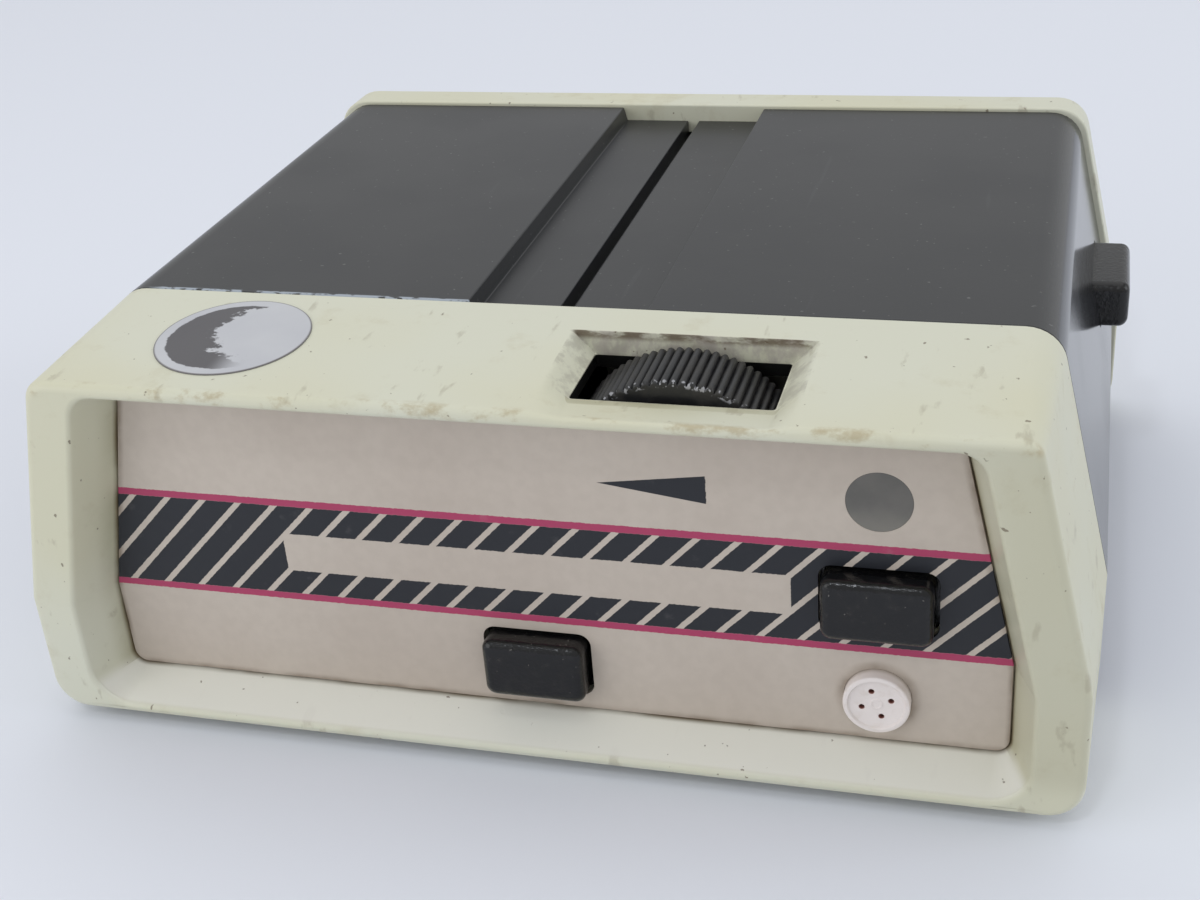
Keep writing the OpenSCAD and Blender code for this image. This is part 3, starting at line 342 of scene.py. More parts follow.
channel = [(-CHANNEL_TOP, CASE_HIGH), (-CHANNEL_FLOOR, CHANNEL_Z),
           (-SLOT_HALF, CHANNEL_Z), (-SLOT_HALF, SLOT_Z)]
channel += [(-x, z) for x, z in channel[::-1]]
outside = outline(np.vstack([case_corners(0, 0, 0), channel]),
                  [TOP_RADIUS, FOLD_RADIUS, BOTTOM_RADIUS, BOTTOM_RADIUS, FOLD_RADIUS, TOP_RADIUS,
                   0.2, 0.15, 0.15, 0.1, 0.1, 0.15, 0.15, 0.2], 8)
sleeve_shape = skin("sleeve_shell", [
    at_depth(inset_loop(outside, END_EDGE), SLEEVE_FRONT), at_depth(outside, SLEEVE_FRONT + END_EDGE),
    at_depth(outside, SLEEVE_BACK - END_EDGE), at_depth(inset_loop(outside, END_EDGE), SLEEVE_BACK)])
hollow = outline(case_corners(WALL, WALL, WALL), [TOP_RADIUS - WALL, FOLD_RADIUS, BOTTOM_RADIUS - WALL,
                                                  BOTTOM_RADIUS - WALL, FOLD_RADIUS, TOP_RADIUS - WALL], 6)
inside = skin("hollow", [at_depth(hollow, SLEEVE_FRONT - 1), at_depth(hollow, SLEEVE_BACK + 1)])
lands = [box_mesh((-RIB_HALF, SLEEVE_FRONT - 2, RIB_Z), (RIB_HALF, SLEEVE_BACK + 2, CASE_HIGH + 1))]
for side in (-1, 1):
    for shelf in (GUIDE_LOW, GUIDE_HIGH):
        near, far = sorted((side * GUIDE_X, side * (WAIST_HALF + 1)))
        lands.append(box_mesh((near, SLEEVE_FRONT - 2, shelf), (far, SLEEVE_BACK + 2, shelf + GUIDE_THICK)))
inside = carve(inside, lands)

SIDE_BUTTON_Y, SIDE_BUTTON_Z, SIDE_BUTTON_LONG, SIDE_BUTTON_HIGH = 78.25, 26.95, 15.5, 6.2
SIDE_GAP, SIDE_ROUND = 0.3, 1.2
SPEAKER_Y, SLOT_WIDE, SLOT_PITCH, GRILLE_RADIUS, SPEAKER_SCREWS = 59.65, 2.4, 4.0, 15.5, 20.6


def rounded_rectangle(wide, high, radius, steps=6):
    """A closed loop round a rectangle about the origin."""
    return outline([(wide / 2, high / 2), (wide / 2, -high / 2), (-wide / 2, -high / 2),
                    (-wide / 2, high / 2)], radius, steps)


def side_slab(loops, xs):
    """Loops of Y and Z about the side button's centre, set at the given X, as 3-D loops."""
    return [np.column_stack([np.full(len(loop), float(x)), loop + (SIDE_BUTTON_Y, SIDE_BUTTON_Z)])
            for loop, x in zip(loops, xs)]


button_hole = rounded_rectangle(SIDE_BUTTON_LONG + 2 * SIDE_GAP, SIDE_BUTTON_HIGH + 2 * SIDE_GAP,
                                SIDE_ROUND + SIDE_GAP)
openings = [inside, skin("side_hole", side_slab([button_hole] * 2, [56.2, 66]))]
for i in range(7):
    x = (i - 3) * SLOT_PITCH
    half_long = math.sqrt(GRILLE_RADIUS ** 2 - x * x) + SLOT_WIDE / 2
    loop = rounded_rectangle(SLOT_WIDE, 2 * half_long, SLOT_WIDE / 2 - 0.01, 8) + (x, SPEAKER_Y)
    openings.append(skin("grille_slot", [at_height(loop, z) for z in (-1.0, 3.0)]))
for i in range(4):
    a = math.radians(90 * i + 45)
    centre = (SPEAKER_SCREWS * math.cos(a), SPEAKER_Y + SPEAKER_SCREWS * math.sin(a), 0)
    openings.append(turned("screw_hole", [(-1, 0.001), (-1, 1.05), (3, 1.05), (3, 0.001)], centre, "Z", 24))
sleeve_shape = carve(sleeve_shape, openings, smooth=30)


def flat_faces_first(piece):
    """Weights the shading by face area, so that large flat faces stay flat beside small rounds."""
    modifier = piece.modifiers.new("even_shading", "WEIGHTED_NORMAL")
    modifier.keep_sharp = True


def object_place(tree):
    """Texture Coordinate's Object output, in metres from the frame's origin."""
    return new_node(tree, "ShaderNodeTexCoord").outputs["Object"]


def datum_axes(tree):
    """X, Y and Z of a point in metres from the case's datum, as three sockets."""
    moved = new_node(tree, "ShaderNodeVectorMath", {0: object_place(tree), 1: tuple(DATUM)},
                     operation="SUBTRACT")
    return new_node(tree, "ShaderNodeSeparateXYZ", {0: moved.outputs[0]}).outputs


def sums(tree, operation, a, b=0.0, c=0.0):
    """One Math node."""
    return new_node(tree, "ShaderNodeMath", {0: a, 1: b, 2: c}, operation=operation).outputs[0]


def product(tree, *masks):
    """Masks multiplied by each other and by plain numbers."""
    total = masks[0]
    for mask in masks[1:]:
        total = sums(tree, "MULTIPLY", total, mask)
    return total


def ramp(tree, value, low, high, start=0.0, end=1.0):
    """A smooth step of value from start at low to end at high."""
    return new_node(tree, "ShaderNodeMapRange", {0: value, 1: low, 2: high, 3: start, 4: end},
                    interpolation_type="SMOOTHSTEP").outputs[0]


def within(tree, value, low, high, soft=0.00004):
    """1 where value lies between low and high, with soft edges: the product of two smooth steps."""
    return product(tree, ramp(tree, value, low - soft, low + soft),
                   ramp(tree, value, high - soft, high + soft, 1.0, 0.0))


def patches(tree, scale, low, high, detail=4.0, stretch=(1, 1, 1), roughness=0.5, offset=(0, 0, 0)):
    """Cloudy patches of 1 on 0: noise in Object coordinates, stepped smoothly from low to high."""
    place = new_node(tree, "ShaderNodeMapping",
                     {0: object_place(tree), "Scale": stretch, "Location": offset})
    noise = new_node(tree, "ShaderNodeTexNoise",
                     {"Vector": place.outputs[0], "Scale": scale, "Detail": detail, "Roughness": roughness})
    return ramp(tree, noise.outputs[0], low, high)


def from_point(tree, a, b, at_a, at_b):
    """Distance in metres, in the plane of two axes, from the place (at_a, at_b) in millimetres."""
    flat = new_node(tree, "ShaderNodeCombineXYZ", {0: a, 1: b}).outputs[0]
    return new_node(tree, "ShaderNodeVectorMath", {0: flat, 1: (MM * at_a, MM * at_b, 0)},
                    operation="DISTANCE").outputs["Value"]


def blended(tree, factor, first, second):
    """first and second mixed by factor, as colours."""
    node = new_node(tree, "ShaderNodeMix", data_type="RGBA", blend_type="MIX")
    for socket, value in ((0, factor), (6, first), (7, second)):
        if isinstance(value, bpy.types.NodeSocket):
            tree.links.new(value, node.inputs[socket])
        else:
            node.inputs[socket].default_value = value
    return node.outputs[2]


def tinted(tree, mask, amount, first, second):
    """first, with an amount of second laid over it where mask is 1."""
    return blended(tree, product(tree, mask, amount), first, second)


def coloured(tree, shader, tone):
    """Sets the base colour by a socket."""
    tree.links.new(tone, shader.inputs["Base Color"])


def roughened(tree, shader, mask, amount, base):
    """Sets the roughness to base, raised by amount where mask is 1."""
    tree.links.new(sums(tree, "MULTIPLY_ADD", mask, amount, base), shader.inputs["Roughness"])


def raised(tree, shader, height, distance, strength):
    """Bump from a height field whose 1 stands distance metres high."""
    bump = new_node(tree, "ShaderNodeBump", {"Height": height, "Distance": distance, "Strength": strength})
    tree.links.new(bump.outputs[0], shader.inputs["Normal"])


def black_paint(name, colour, satin, polished):
    """Stoved black paint: satin on top, polished at the sides by hands, with fine orange peel, a
    few specks of dust and a crumbled pale edge where the left of it meets the bezel."""
    material, tree, shader = new_material(name, colour, satin, Specular_IOR_Level=0.62)
    x, y, z = datum_axes(tree)
    cloud = patches(tree, 45, 0.35, 0.7, 3)
    hairs = patches(tree, 600, 0.71, 0.75, 2, (1.0, 0.05, 1.0))
    specks = patches(tree, 1500, 0.74, 0.77, 1)
    crumbs = patches(tree, 1300, 0.40, 0.50, 4, (0.5, 1.0, 1.0))
    chipped = product(tree, ramp(tree, y, 0.0245, 0.0242), crumbs,
                      within(tree, x, -0.050, -0.0085, 0.0015))
    worn = tinted(tree, cloud, 0.2, colour, srgb(40, 42, 46))
    worn = tinted(tree, hairs, 0.06, worn, srgb(110, 112, 116))
    worn = tinted(tree, specks, 0.2, worn, srgb(190, 190, 188))
    coloured(tree, shader, tinted(tree, chipped, 0.8, worn, srgb(176, 186, 198)))
    flank = ramp(tree, sums(tree, "ABSOLUTE", x), 0.0515, 0.0548)
    dull = sums(tree, "MULTIPLY_ADD", flank, polished - satin, satin)
    roughened(tree, shader, cloud, 0.05, dull)
    raised(tree, shader, patches(tree, 1400, 0.2, 0.8, 2), 0.000004, 0.4)
    return material


SATIN_BLACK = srgb(30, 31, 33)
sleeve_finish = black_paint("satin_black_paint", SATIN_BLACK, 0.34, 0.13)
flat_faces_first(link_piece("sleeve_painted", sleeve_shape, sleeve_finish, "case", "case_black", "sleeve"))

# ---------------------------------------------------------------------------
# Front bezel
# A thick cream moulding that narrows towards the front, with a deep recess for the panel and
# a thumb pocket cut into its top edge. Its ring and bosses reach into the sleeve.
# ---------------------------------------------------------------------------

DRAFT = 1.15
FRONT_ROUND, MOUTH_ROUND = 0.9, 0.45
FRONT_TOP_RADIUS = 2.3
RECESS_DEEP, SEAT_BACK = 6.7, 7.9
MOUTH = np.array([6.55, 2.6, 1.3])
SEAT = np.array([9.0, 4.4, 3.2])
BEZEL_WALL, SPIGOT_INSET, SPIGOT_THICK, SPIGOT_LONG = 2.8, 2.0, 1.6, 4.5

AXLE_X, AXLE_Z = 16.7, 31.3
POCKET_RIM_LEFT, POCKET_RIM_RIGHT = 3.6, 30.2
POCKET_BACK, POCKET_RIM_BACK = 18.0, 18.25
POCKET_FLOOR, FLOOR_FRONT = 42.1, 7.0
FLOOR_LEFT, FLOOR_LEFT_SPLAY, FLOOR_RIGHT, FLOOR_RIGHT_SPLAY = 7.2, 1.25, 27.9, 0.3
FLOOR_CLIMB, WALL_BLEND, LIP_ROUND, RIM_BLEND = 0.212, 0.08, 0.6, 0.32
APERTURE_HALF, APERTURE_FRONT, APERTURE_STEP, APERTURE_ROUND = 10.8, 7.2, 8.0, 0.4


def smooth_least(a, b, reach):
    """The lesser of a and b, blended over reach: mix(b, a, h) - reach h (1 - h)."""
    h = np.clip(0.5 + 0.5 * (b - a) / reach, 0, 1)
    return b * (1 - h) + a * h - reach * h * (1 - h)


def bezel_top(y):
    """Height of the bezel's top at depth y, which falls by the draft towards the front."""
    return CASE_HIGH - DRAFT * (1 - y / SLEEVE_FRONT)


def pocket_height(x, y):
    """Height of the thumb pocket: a floor that climbs to the lip, and walls ruled up to its rim.
    The walls rise with the greater of the two shares of the way from floor edge to rim."""
    floor = POCKET_FLOOR + np.clip(FLOOR_FRONT - y, 0, None) * FLOOR_CLIMB
    floor_left = FLOOR_LEFT - FLOOR_LEFT_SPLAY * np.clip(y / FLOOR_FRONT, 0, 1)
    floor_right = FLOOR_RIGHT - FLOOR_RIGHT_SPLAY * np.clip(y / FLOOR_FRONT, 0, 1)
    left = (floor_left - x) / (floor_left - POCKET_RIM_LEFT)
    right_side = (x - floor_right) / (POCKET_RIM_RIGHT - floor_right)
    back = (y - POCKET_BACK) / (POCKET_RIM_BACK - POCKET_BACK)
    share = np.maximum(np.maximum(left, right_side), back)
    share = -smooth_least(-share, np.zeros_like(share), WALL_BLEND)
    lip = np.clip(LIP_ROUND - y, 0, LIP_ROUND)
    return floor + share * (bezel_top(y) - floor) - (LIP_ROUND - np.sqrt(LIP_ROUND ** 2 - lip ** 2))


def pocketed(loop, y):
    """Lowers the top of a bezel loop into the pocket, with a small round along the pocket's rim."""
    x, z = loop.T
    on_top = z > CASE_HIGH - 2.6
    near = (x > 1) & (x < 33) & on_top
    lowered = np.where(near, smooth_least(pocket_height(x, y), z, RIM_BLEND), z)
    return np.column_stack([x, np.minimum(z, lowered)])


across_top = np.concatenate([
    np.linspace(-44, 2.6, 14), np.arange(2.9, 4.5, 0.1), np.arange(4.6, 5.6, 0.2), np.arange(5.6, 7.7, 0.1),
    np.linspace(7.8, 26.8, 14), np.arange(27.0, 28.4, 0.1), np.arange(28.5, 29.5, 0.2),
    np.arange(29.5, 30.9, 0.1), np.linspace(31.1, 44, 6)])


def bezel_loop(y, side, top, bottom, top_radius, bottom_radius):
    """The bezel's outline at depth y, sampled across its top, as 3-D points."""
    corners = case_corners(side, top, bottom)
    loop = outline(corners, [top_radius, FOLD_RADIUS, bottom_radius,
                             bottom_radius, FOLD_RADIUS, top_radius], 8)
    loop = np.vstack([loop, np.column_stack([across_top, np.full(len(across_top), corners[0][1])])])
    return at_depth(pocketed(loop, y), y)


def bezel_flank(y, shrink=0.0):
    """The outside at depth y, moved in by the draft and by shrink."""
    share = y / SLEEVE_FRONT
    inset = DRAFT * (1 - share) + shrink
    radius = FRONT_TOP_RADIUS + (TOP_RADIUS - FRONT_TOP_RADIUS) * share
    return bezel_loop(y, inset, inset, shrink, radius, BOTTOM_RADIUS - shrink)


rows = [SLEEVE_FRONT - 0.12, 21.0, 18.9, 18.7, *np.arange(18.55, 17.85, -0.035), *np.arange(17.5, 1.0, -0.8)]
bezel_loops = [bezel_flank(SLEEVE_FRONT, 0.12)] + [bezel_flank(y) for y in rows]
for a in quarter_turn(15):
    bezel_loops.append(bezel_flank(FRONT_ROUND * (1 - math.sin(a)), FRONT_ROUND * (1 - math.cos(a))))
for a in quarter_turn(18):
    y = MOUTH_ROUND * (1 - math.cos(a))
    side, top, bottom = MOUTH - MOUTH_ROUND * (1 - math.sin(a)) + (SEAT - MOUTH) * y / RECESS_DEEP
    bezel_loops.append(bezel_loop(y, side, top, bottom, 3.0, 4.5))
for share in (0.1, 0.3, 0.6, 0.9, 1.0):
    side, top, bottom = MOUTH + (SEAT - MOUTH) * share
    bezel_loops.append(bezel_loop(RECESS_DEEP * share, side, top, bottom,
                                  3.0 - 1.4 * share, 4.5 - 2.9 * share))
bezel_shape = skin("front_moulding", bezel_loops)


def case_prism(y0, y1, inset, radius):
    """A straight length of the case's outline, moved in all round."""
    loop = outline(case_corners(inset, inset, inset),
                   [radius, FOLD_RADIUS, radius, radius, FOLD_RADIUS, radius], 6)
    return skin("prism", [at_depth(loop, y0), at_depth(loop, y1)])


def spigot(y0, y1):
    """The ring that slips into the sleeve, notched for the sleeve's rib and card guides."""
    ring = case_prism(y0, y1, SPIGOT_INSET, TOP_RADIUS - WALL)
    gap = RIB_HALF + 0.7
    low, high = sorted((y0, y1))
    notch_front, notch_back = max(low, SLEEVE_FRONT) - 0.001, min(high, SLEEVE_BACK) + 0.001
    return carve(ring, [
        case_prism(y0 - 1, y1 + 1, SPIGOT_INSET + SPIGOT_THICK, 2.0),
        box_mesh((-gap, notch_front, RIB_Z - 0.7), (gap, notch_back, CASE_HIGH)),
        box_mesh((-70, notch_front, GUIDE_LOW - 0.4), (70, notch_back, GUIDE_HIGH + GUIDE_THICK + 0.4))])


def rod(x, z, y0, y1, radius, turns=40):
    """A round bar along Y with square ends."""
    return turned("rod", [(y0, POLE), (y0, radius), (y1, radius), (y1, POLE)], (x, 0, z), "Y", turns)


TIE_POINTS = [(-47.0, 37.5), (-53.0, 6.3), (47.0, 37.5), (53.0, 6.3)]
board_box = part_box("switch_board")
board_low = 1000 * (np.array(board_box[0]) - DATUM)
board_high = 1000 * (np.array(board_box[1]) - DATUM)
CALL_X, CALL_Z = 0.0, 9.15
COLUMN_X, TALK_Z, WINDOW_Z, MIC_Z = 38.0, 20.9, 32.9, 8.8
POSTS = [(CALL_X - 10.5, CALL_Z), (COLUMN_X + 8.3, 12.5), (COLUMN_X - 4.5, board_high[2] - 2.1)]
BOARD_Y, BOARD_BACK, BOSS_RADIUS, POST_RADIUS = board_low[1], board_high[1], 4.0, 2.2
HOLE_WIDE, HOLE_HIGH, HOLE_RADIUS = 12.6, 8.2, 1.5
WINDOW_RADIUS, MIC_RADIUS = 3.4, 3.6


def panel_cutters(y0, y1):
    """Cutters for the two button holes, the window and the microphone cap."""
    loop = rounded_rectangle(HOLE_WIDE, HOLE_HIGH, HOLE_RADIUS, 8)
    blocks = [skin("hole", [at_depth(loop + place, y) for y in (y0, y1)])
              for place in ((CALL_X, CALL_Z), (COLUMN_X, TALK_Z))]
    return blocks + [rod(COLUMN_X, WINDOW_Z, y0, y1, WINDOW_RADIUS + 0.05, turns=64),
                     rod(COLUMN_X, MIC_Z, y0, y1, MIC_RADIUS + 0.05, turns=64)]


cavity = case_prism(SEAT_BACK, SLEEVE_FRONT + 1, BEZEL_WALL, 2.0)
floor_pan = box_mesh((2.4, SEAT_BACK - 1, POCKET_FLOOR - 1.5), (31.8, 18.9, 46))
cavity = carve(cavity, [floor_pan])
additions = [spigot(SLEEVE_FRONT - BEZEL_WALL, SLEEVE_FRONT + SPIGOT_LONG)]
additions += [rod(x, z, SEAT_BACK - 0.5, SLEEVE_FRONT - 0.001, BOSS_RADIUS) for x, z in TIE_POINTS]
for x, z in TIE_POINTS:
    low, high = (z, CASE_HIGH - BEZEL_WALL / 2) if z > CASE_HIGH / 2 else (1.0, z)
    additions.append(box_mesh((x - 1, SEAT_BACK - 0.4, low), (x + 1, SLEEVE_FRONT - BEZEL_WALL, high)))
additions += [rod(x, z, SEAT_BACK - 0.5, BOARD_Y, POST_RADIUS) for x, z in POSTS]
borings = panel_cutters(-1, SEAT_BACK + 0.6)
for front, low in ((APERTURE_FRONT, POCKET_FLOOR - 0.9), (APERTURE_STEP, 35)):
    loop = rounded_rectangle(2 * APERTURE_HALF, POCKET_BACK - front, APERTURE_ROUND)
    loop = loop + (AXLE_X, (POCKET_BACK + front) / 2)
    borings.append(skin("aperture", [at_height(loop, z) for z in (low, 46.0)]))
for x, z in TIE_POINTS:
    borings += [rod(x, z, 17.8, SLEEVE_FRONT + 1, 2.35), rod(x, z, 13.8, 17.9, 1.55)]
borings += [rod(x, z, BOARD_BACK - 8.5, BOARD_Y + 1, 1.05) for x, z in POSTS]
bezel_shape = carve(bezel_shape, [cavity])
for addition in additions:
    bezel_shape = carve(bezel_shape, [addition], "UNION")
bezel_shape = carve(bezel_shape, borings, smooth=32)


def cream_plastic(name, colour, front=False):
    """Cream moulded plastic, gone green-yellow with age, with handling dirt, brown specks and
    shallow dents. Its bump is a slow wave, fine grain and the nicks."""
    material, tree, shader = new_material(name, colour, 0.42, Specular_IOR_Level=0.45)
    x, y, z = datum_axes(tree)
    yellowing = patches(tree, 28, 0.38, 0.68, 2)
    smears = patches(tree, 160, 0.55, 0.75, 5, (1, 1, 1), 0.65)
    scuffs = patches(tree, 420, 0.64, 0.72, 4, (1.0, 0.35, 0.5), offset=(0.7, 0.2, 0.4))
    specks = patches(tree, 900, 0.73, 0.765, 2)
    tone = tinted(tree, yellowing, 0.5, colour, srgb(210, 205, 172))
    tone = tinted(tree, smears, 0.20, tone, srgb(168, 152, 112))
    tone = tinted(tree, scuffs, 0.30, tone, srgb(132, 118, 92))
    # On the bezel this adds its dirt together with painted shade and painted light.
    if front:
        tone = front_dirt_and_shade(tree, x, y, z, tone)
    tone = tinted(tree, specks, 0.7, tone, srgb(98, 80, 58))
    coloured(tree, shader, tone)
    roughened(tree, shader, smears, 0.16, 0.40)
    grain = patches(tree, 2600, 0.2, 0.8, 2)
    wave = patches(tree, 60, 0.1, 0.9, 1)
    nicks = patches(tree, 420, 0.70, 0.74, 2)
    relief = sums(tree, "MULTIPLY_ADD", grain, 0.06, wave)
    raised(tree, shader, sums(tree, "MULTIPLY_ADD", nicks, -0.35, relief), 0.00006, 0.6)
    return material


def front_dirt_and_shade(tree, x, y, z, tone):
    """The bezel's own dirt with painted shade and light, each a mask of place, most times noise:
    painted shade at the right of the front, a bottom face of the recess painted lighter as if lit
    from above, painted shade with a grimy tint deep in the recess, stains on the lip and in the
    pocket, and a painted shadow, near black, under its floor."""
    cloud = patches(tree, 120, 0.3, 0.7, 4, offset=(0.2, 0.5, 0.1))
    half = sums(tree, "ABSOLUTE", x)
    slope = MM * (TOP_HALF + CASE_HIGH * LEAN - 4)
    inward = product(tree, ramp(tree, half, 0.0572, 0.0570),
                     ramp(tree, sums(tree, "MULTIPLY_ADD", z, LEAN, half), slope, slope - 0.0002))
    shown_front = sums(tree, "MAXIMUM", inward, ramp(tree, y, 0.0010, 0.0003))
    before_seat = ramp(tree, y, 0.0072, 0.0071)
    # Painted shade: the right-hand end of the front face and of the recess walls is darkened, as the light
    # falls off there.
    right_front_shade = product(tree, shown_front, ramp(tree, x, 0.030, 0.056), before_seat,
                      ramp(tree, z, 0.0436, 0.0428), ramp(tree, z, 0.0020, 0.0060))
    tone = tinted(tree, right_front_shade, 0.30, tone, srgb(162, 157, 132))
    # Painted light: the recess's bottom face, which looks up, is made much lighter, as if lit from above.
    sill = product(tree, shown_front, ramp(tree, y, 0.0000, 0.0008), before_seat,
                   ramp(tree, z, 0.0046, 0.0030), ramp(tree, z, 0.0004, 0.0012))
    tone = tinted(tree, sill, 0.85, tone, srgb(240, 239, 231))
    # Painted shade with a grimy tint: the recess walls darken towards the panel, clouded by noise.
    behind = product(tree, inward, ramp(tree, y, 0.0030, 0.0068), before_seat,
                     within(tree, z, 0.0036, 0.0424))
    seam = product(tree, inward, ramp(tree, y, 0.0056, 0.0064), before_seat,
                   within(tree, z, 0.002, 0.0412))
    shade_and_grime_amount = sums(tree, "MULTIPLY_ADD", cloud, 0.35, 0.15)
    heavy_grime = sums(tree, "MULTIPLY_ADD", cloud, 0.5, 0.4)
    tone = blended(tree, product(tree, behind, shade_and_grime_amount), tone, srgb(140, 132, 92))
    tone = blended(tree, product(tree, seam, heavy_grime), tone, srgb(104, 84, 52))
    lip = product(tree, ramp(tree, y, 0.0016, 0.0004), ramp(tree, z, 0.0420, 0.0432))
    stain = patches(tree, 260, 0.52, 0.66, 5, (0.7, 1, 1), 0.65, offset=(0.1, 0.9, 0.3))
    tone = blended(tree, product(tree, lip, stain, 0.5), tone, srgb(158, 134, 84))
    in_pocket = product(tree, within(tree, x, 0.0034, 0.0304), within(tree, y, 0.0070, 0.01835))
    walls = product(tree, in_pocket, ramp(tree, z, 0.0448, 0.0445))
    grey = patches(tree, 420, 0.42, 0.62, 5, (1, 1, 1), 0.65, offset=(0.6, 0.3, 0.2))
    tone = blended(tree, product(tree, walls, grey, 0.35), tone, srgb(128, 120, 112))
    back_wall = product(tree, within(tree, x, 0.0036, 0.0300, 0.0005), ramp(tree, y, 0.01785, 0.01797),
                        ramp(tree, y, 0.0184, 0.0183))
    mottle = patches(tree, 520, 0.36, 0.60, 5, (1, 1, 0.6), 0.7)
    tone = blended(tree, product(tree, back_wall, mottle, 0.55), tone, srgb(172, 162, 158))
    streak = patches(tree, 650, 0.38, 0.56, 4, (0.35, 1, 1), 0.65, offset=(0.3, 0.3, 0.8))
    top_line = product(tree, back_wall, ramp(tree, z, 0.0436, 0.0443))
    tone = blended(tree, product(tree, top_line, streak, 0.8), tone, srgb(92, 74, 50))
    # Painted shadow: inside the wheel's opening, below the pocket's floor, the plastic is made near black.
    shadow_under_floor = product(tree, within(tree, x, 0.0057, 0.0277), within(tree, y, 0.0071, 0.0182),
                          ramp(tree, z, 0.04207, 0.04200))
    return blended(tree, shadow_under_floor, tone, srgb(9, 9, 9))


CREAM = srgb(213, 213, 195)
bezel_finish = cream_plastic("aged_cream_plastic", CREAM, front=True)
flat_faces_first(link_piece("front_bezel_moulding", bezel_shape, bezel_finish, "case",
                            "case_cream", "front_bezel"))

# ---------------------------------------------------------------------------
# Printed panel
# A thin sheet, silk-screened in crimson and charcoal, laid on the recess's floor. It is held
# by the flanges behind it, and years of dust have left a brown line round its edge.
# ---------------------------------------------------------------------------

PANEL_FRONT = 6.2
CLEAR_PITCHES = 40
LINE_UPPER, LINE_LOWER = (26.93, 27.8), (14.45, 15.3)
STRIPE_PITCH, STRIPE_WIDE, STRIPE_AT, STRIPE_SLANT = 4.417, 0.95, -38.94, 0.97
CAPTION_X, CAPTION_Z = (-29.15, 28.83), (18.42, 23.3)
WEDGE_TIP, WEDGE_END, WEDGE_HALF = 8.5, 20.2, 1.65

panel_edge = SEAT + 0.05
panel_corners = case_corners(*panel_edge)
panel_loop = outline(panel_corners, 1.6, 8)
panel_shape = carve(
    skin("panel_sheet", [at_depth(inset_loop(panel_loop, 0.06), PANEL_FRONT),
                         at_depth(panel_loop, PANEL_FRONT + 0.06), at_depth(panel_loop, RECESS_DEEP)]),
    panel_cutters(PANEL_FRONT - 1, RECESS_DEEP + 1))


def printed_panel():
    """The print, from X and Z on the panel, under a matt lacquer that has yellowed."""
    paper = srgb(192, 180, 168)
    material, tree, shader = new_material("printed_panel", paper, 0.5, Specular_IOR_Level=0.4)
    x, _, z = datum_axes(tree)
    ink_edge = patches(tree, 2500, 0.2, 0.8, 2)
    wobble = sums(tree, "MULTIPLY_ADD", ink_edge, 0.00008, -0.00004)
    rough_x, rough_z = sums(tree, "ADD", x, wobble), sums(tree, "ADD", z, wobble)
    band = within(tree, rough_z, LINE_LOWER[1] * MM, LINE_UPPER[0] * MM)
    lean = sums(tree, "MULTIPLY_ADD", z, -STRIPE_SLANT, rough_x)
    start = STRIPE_PITCH * CLEAR_PITCHES - STRIPE_AT + STRIPE_SLANT * LINE_UPPER[0]
    along = sums(tree, "MODULO", sums(tree, "ADD", lean, start * MM), STRIPE_PITCH * MM)
    stripe = within(tree, along, 0.00006, STRIPE_WIDE * MM)
    caption = product(tree, within(tree, rough_x, CAPTION_X[0] * MM, CAPTION_X[1] * MM),
                      within(tree, rough_z, CAPTION_Z[0] * MM, CAPTION_Z[1] * MM))
    bare = sums(tree, "MAXIMUM", stripe, caption)
    charcoal = product(tree, band, sums(tree, "SUBTRACT", 1.0, bare))
    past_tip = sums(tree, "SUBTRACT", rough_x, WEDGE_TIP * MM)
    spread = product(tree, past_tip, WEDGE_HALF / (WEDGE_END - WEDGE_TIP))
    off_axis = sums(tree, "ABSOLUTE", sums(tree, "SUBTRACT", z, WINDOW_Z * MM))
    wedge = product(tree, within(tree, rough_x, WEDGE_TIP * MM, WEDGE_END * MM),
                    ramp(tree, sums(tree, "SUBTRACT", spread, off_axis), -0.00003, 0.00003))
    dark = sums(tree, "MAXIMUM", charcoal, wedge)
    red = sums(tree, "MAXIMUM", within(tree, rough_z, LINE_LOWER[0] * MM, LINE_LOWER[1] * MM),
               within(tree, rough_z, LINE_UPPER[0] * MM, LINE_UPPER[1] * MM))
    paper_cloud = patches(tree, 35, 0.3, 0.7, 3)
    fibre = patches(tree, 700, 0.3, 0.7, 4)
    tone = blended(tree, paper_cloud, paper, srgb(200, 189, 177))
    tone = tinted(tree, fibre, 0.12, tone, srgb(160, 148, 136))
    tone = blended(tree, panel_dirt(tree, x, z), tone, srgb(112, 92, 70))
    rubbed = patches(tree, 500, 0.62, 0.78, 5)
    ink = tinted(tree, rubbed, 0.2, srgb(33, 35, 41), srgb(104, 100, 100))
    crimson = tinted(tree, rubbed, 0.25, srgb(172, 60, 97), srgb(186, 116, 134))
    tone = blended(tree, red, blended(tree, dark, tone, ink), crimson)
    coloured(tree, shader, tone)
    printed = sums(tree, "MAXIMUM", red, dark)
    roughened(tree, shader, printed, -0.10, 0.52)
    raised(tree, shader, sums(tree, "MULTIPLY_ADD", fibre, 0.2, printed), 0.00002, 0.4)
    return material


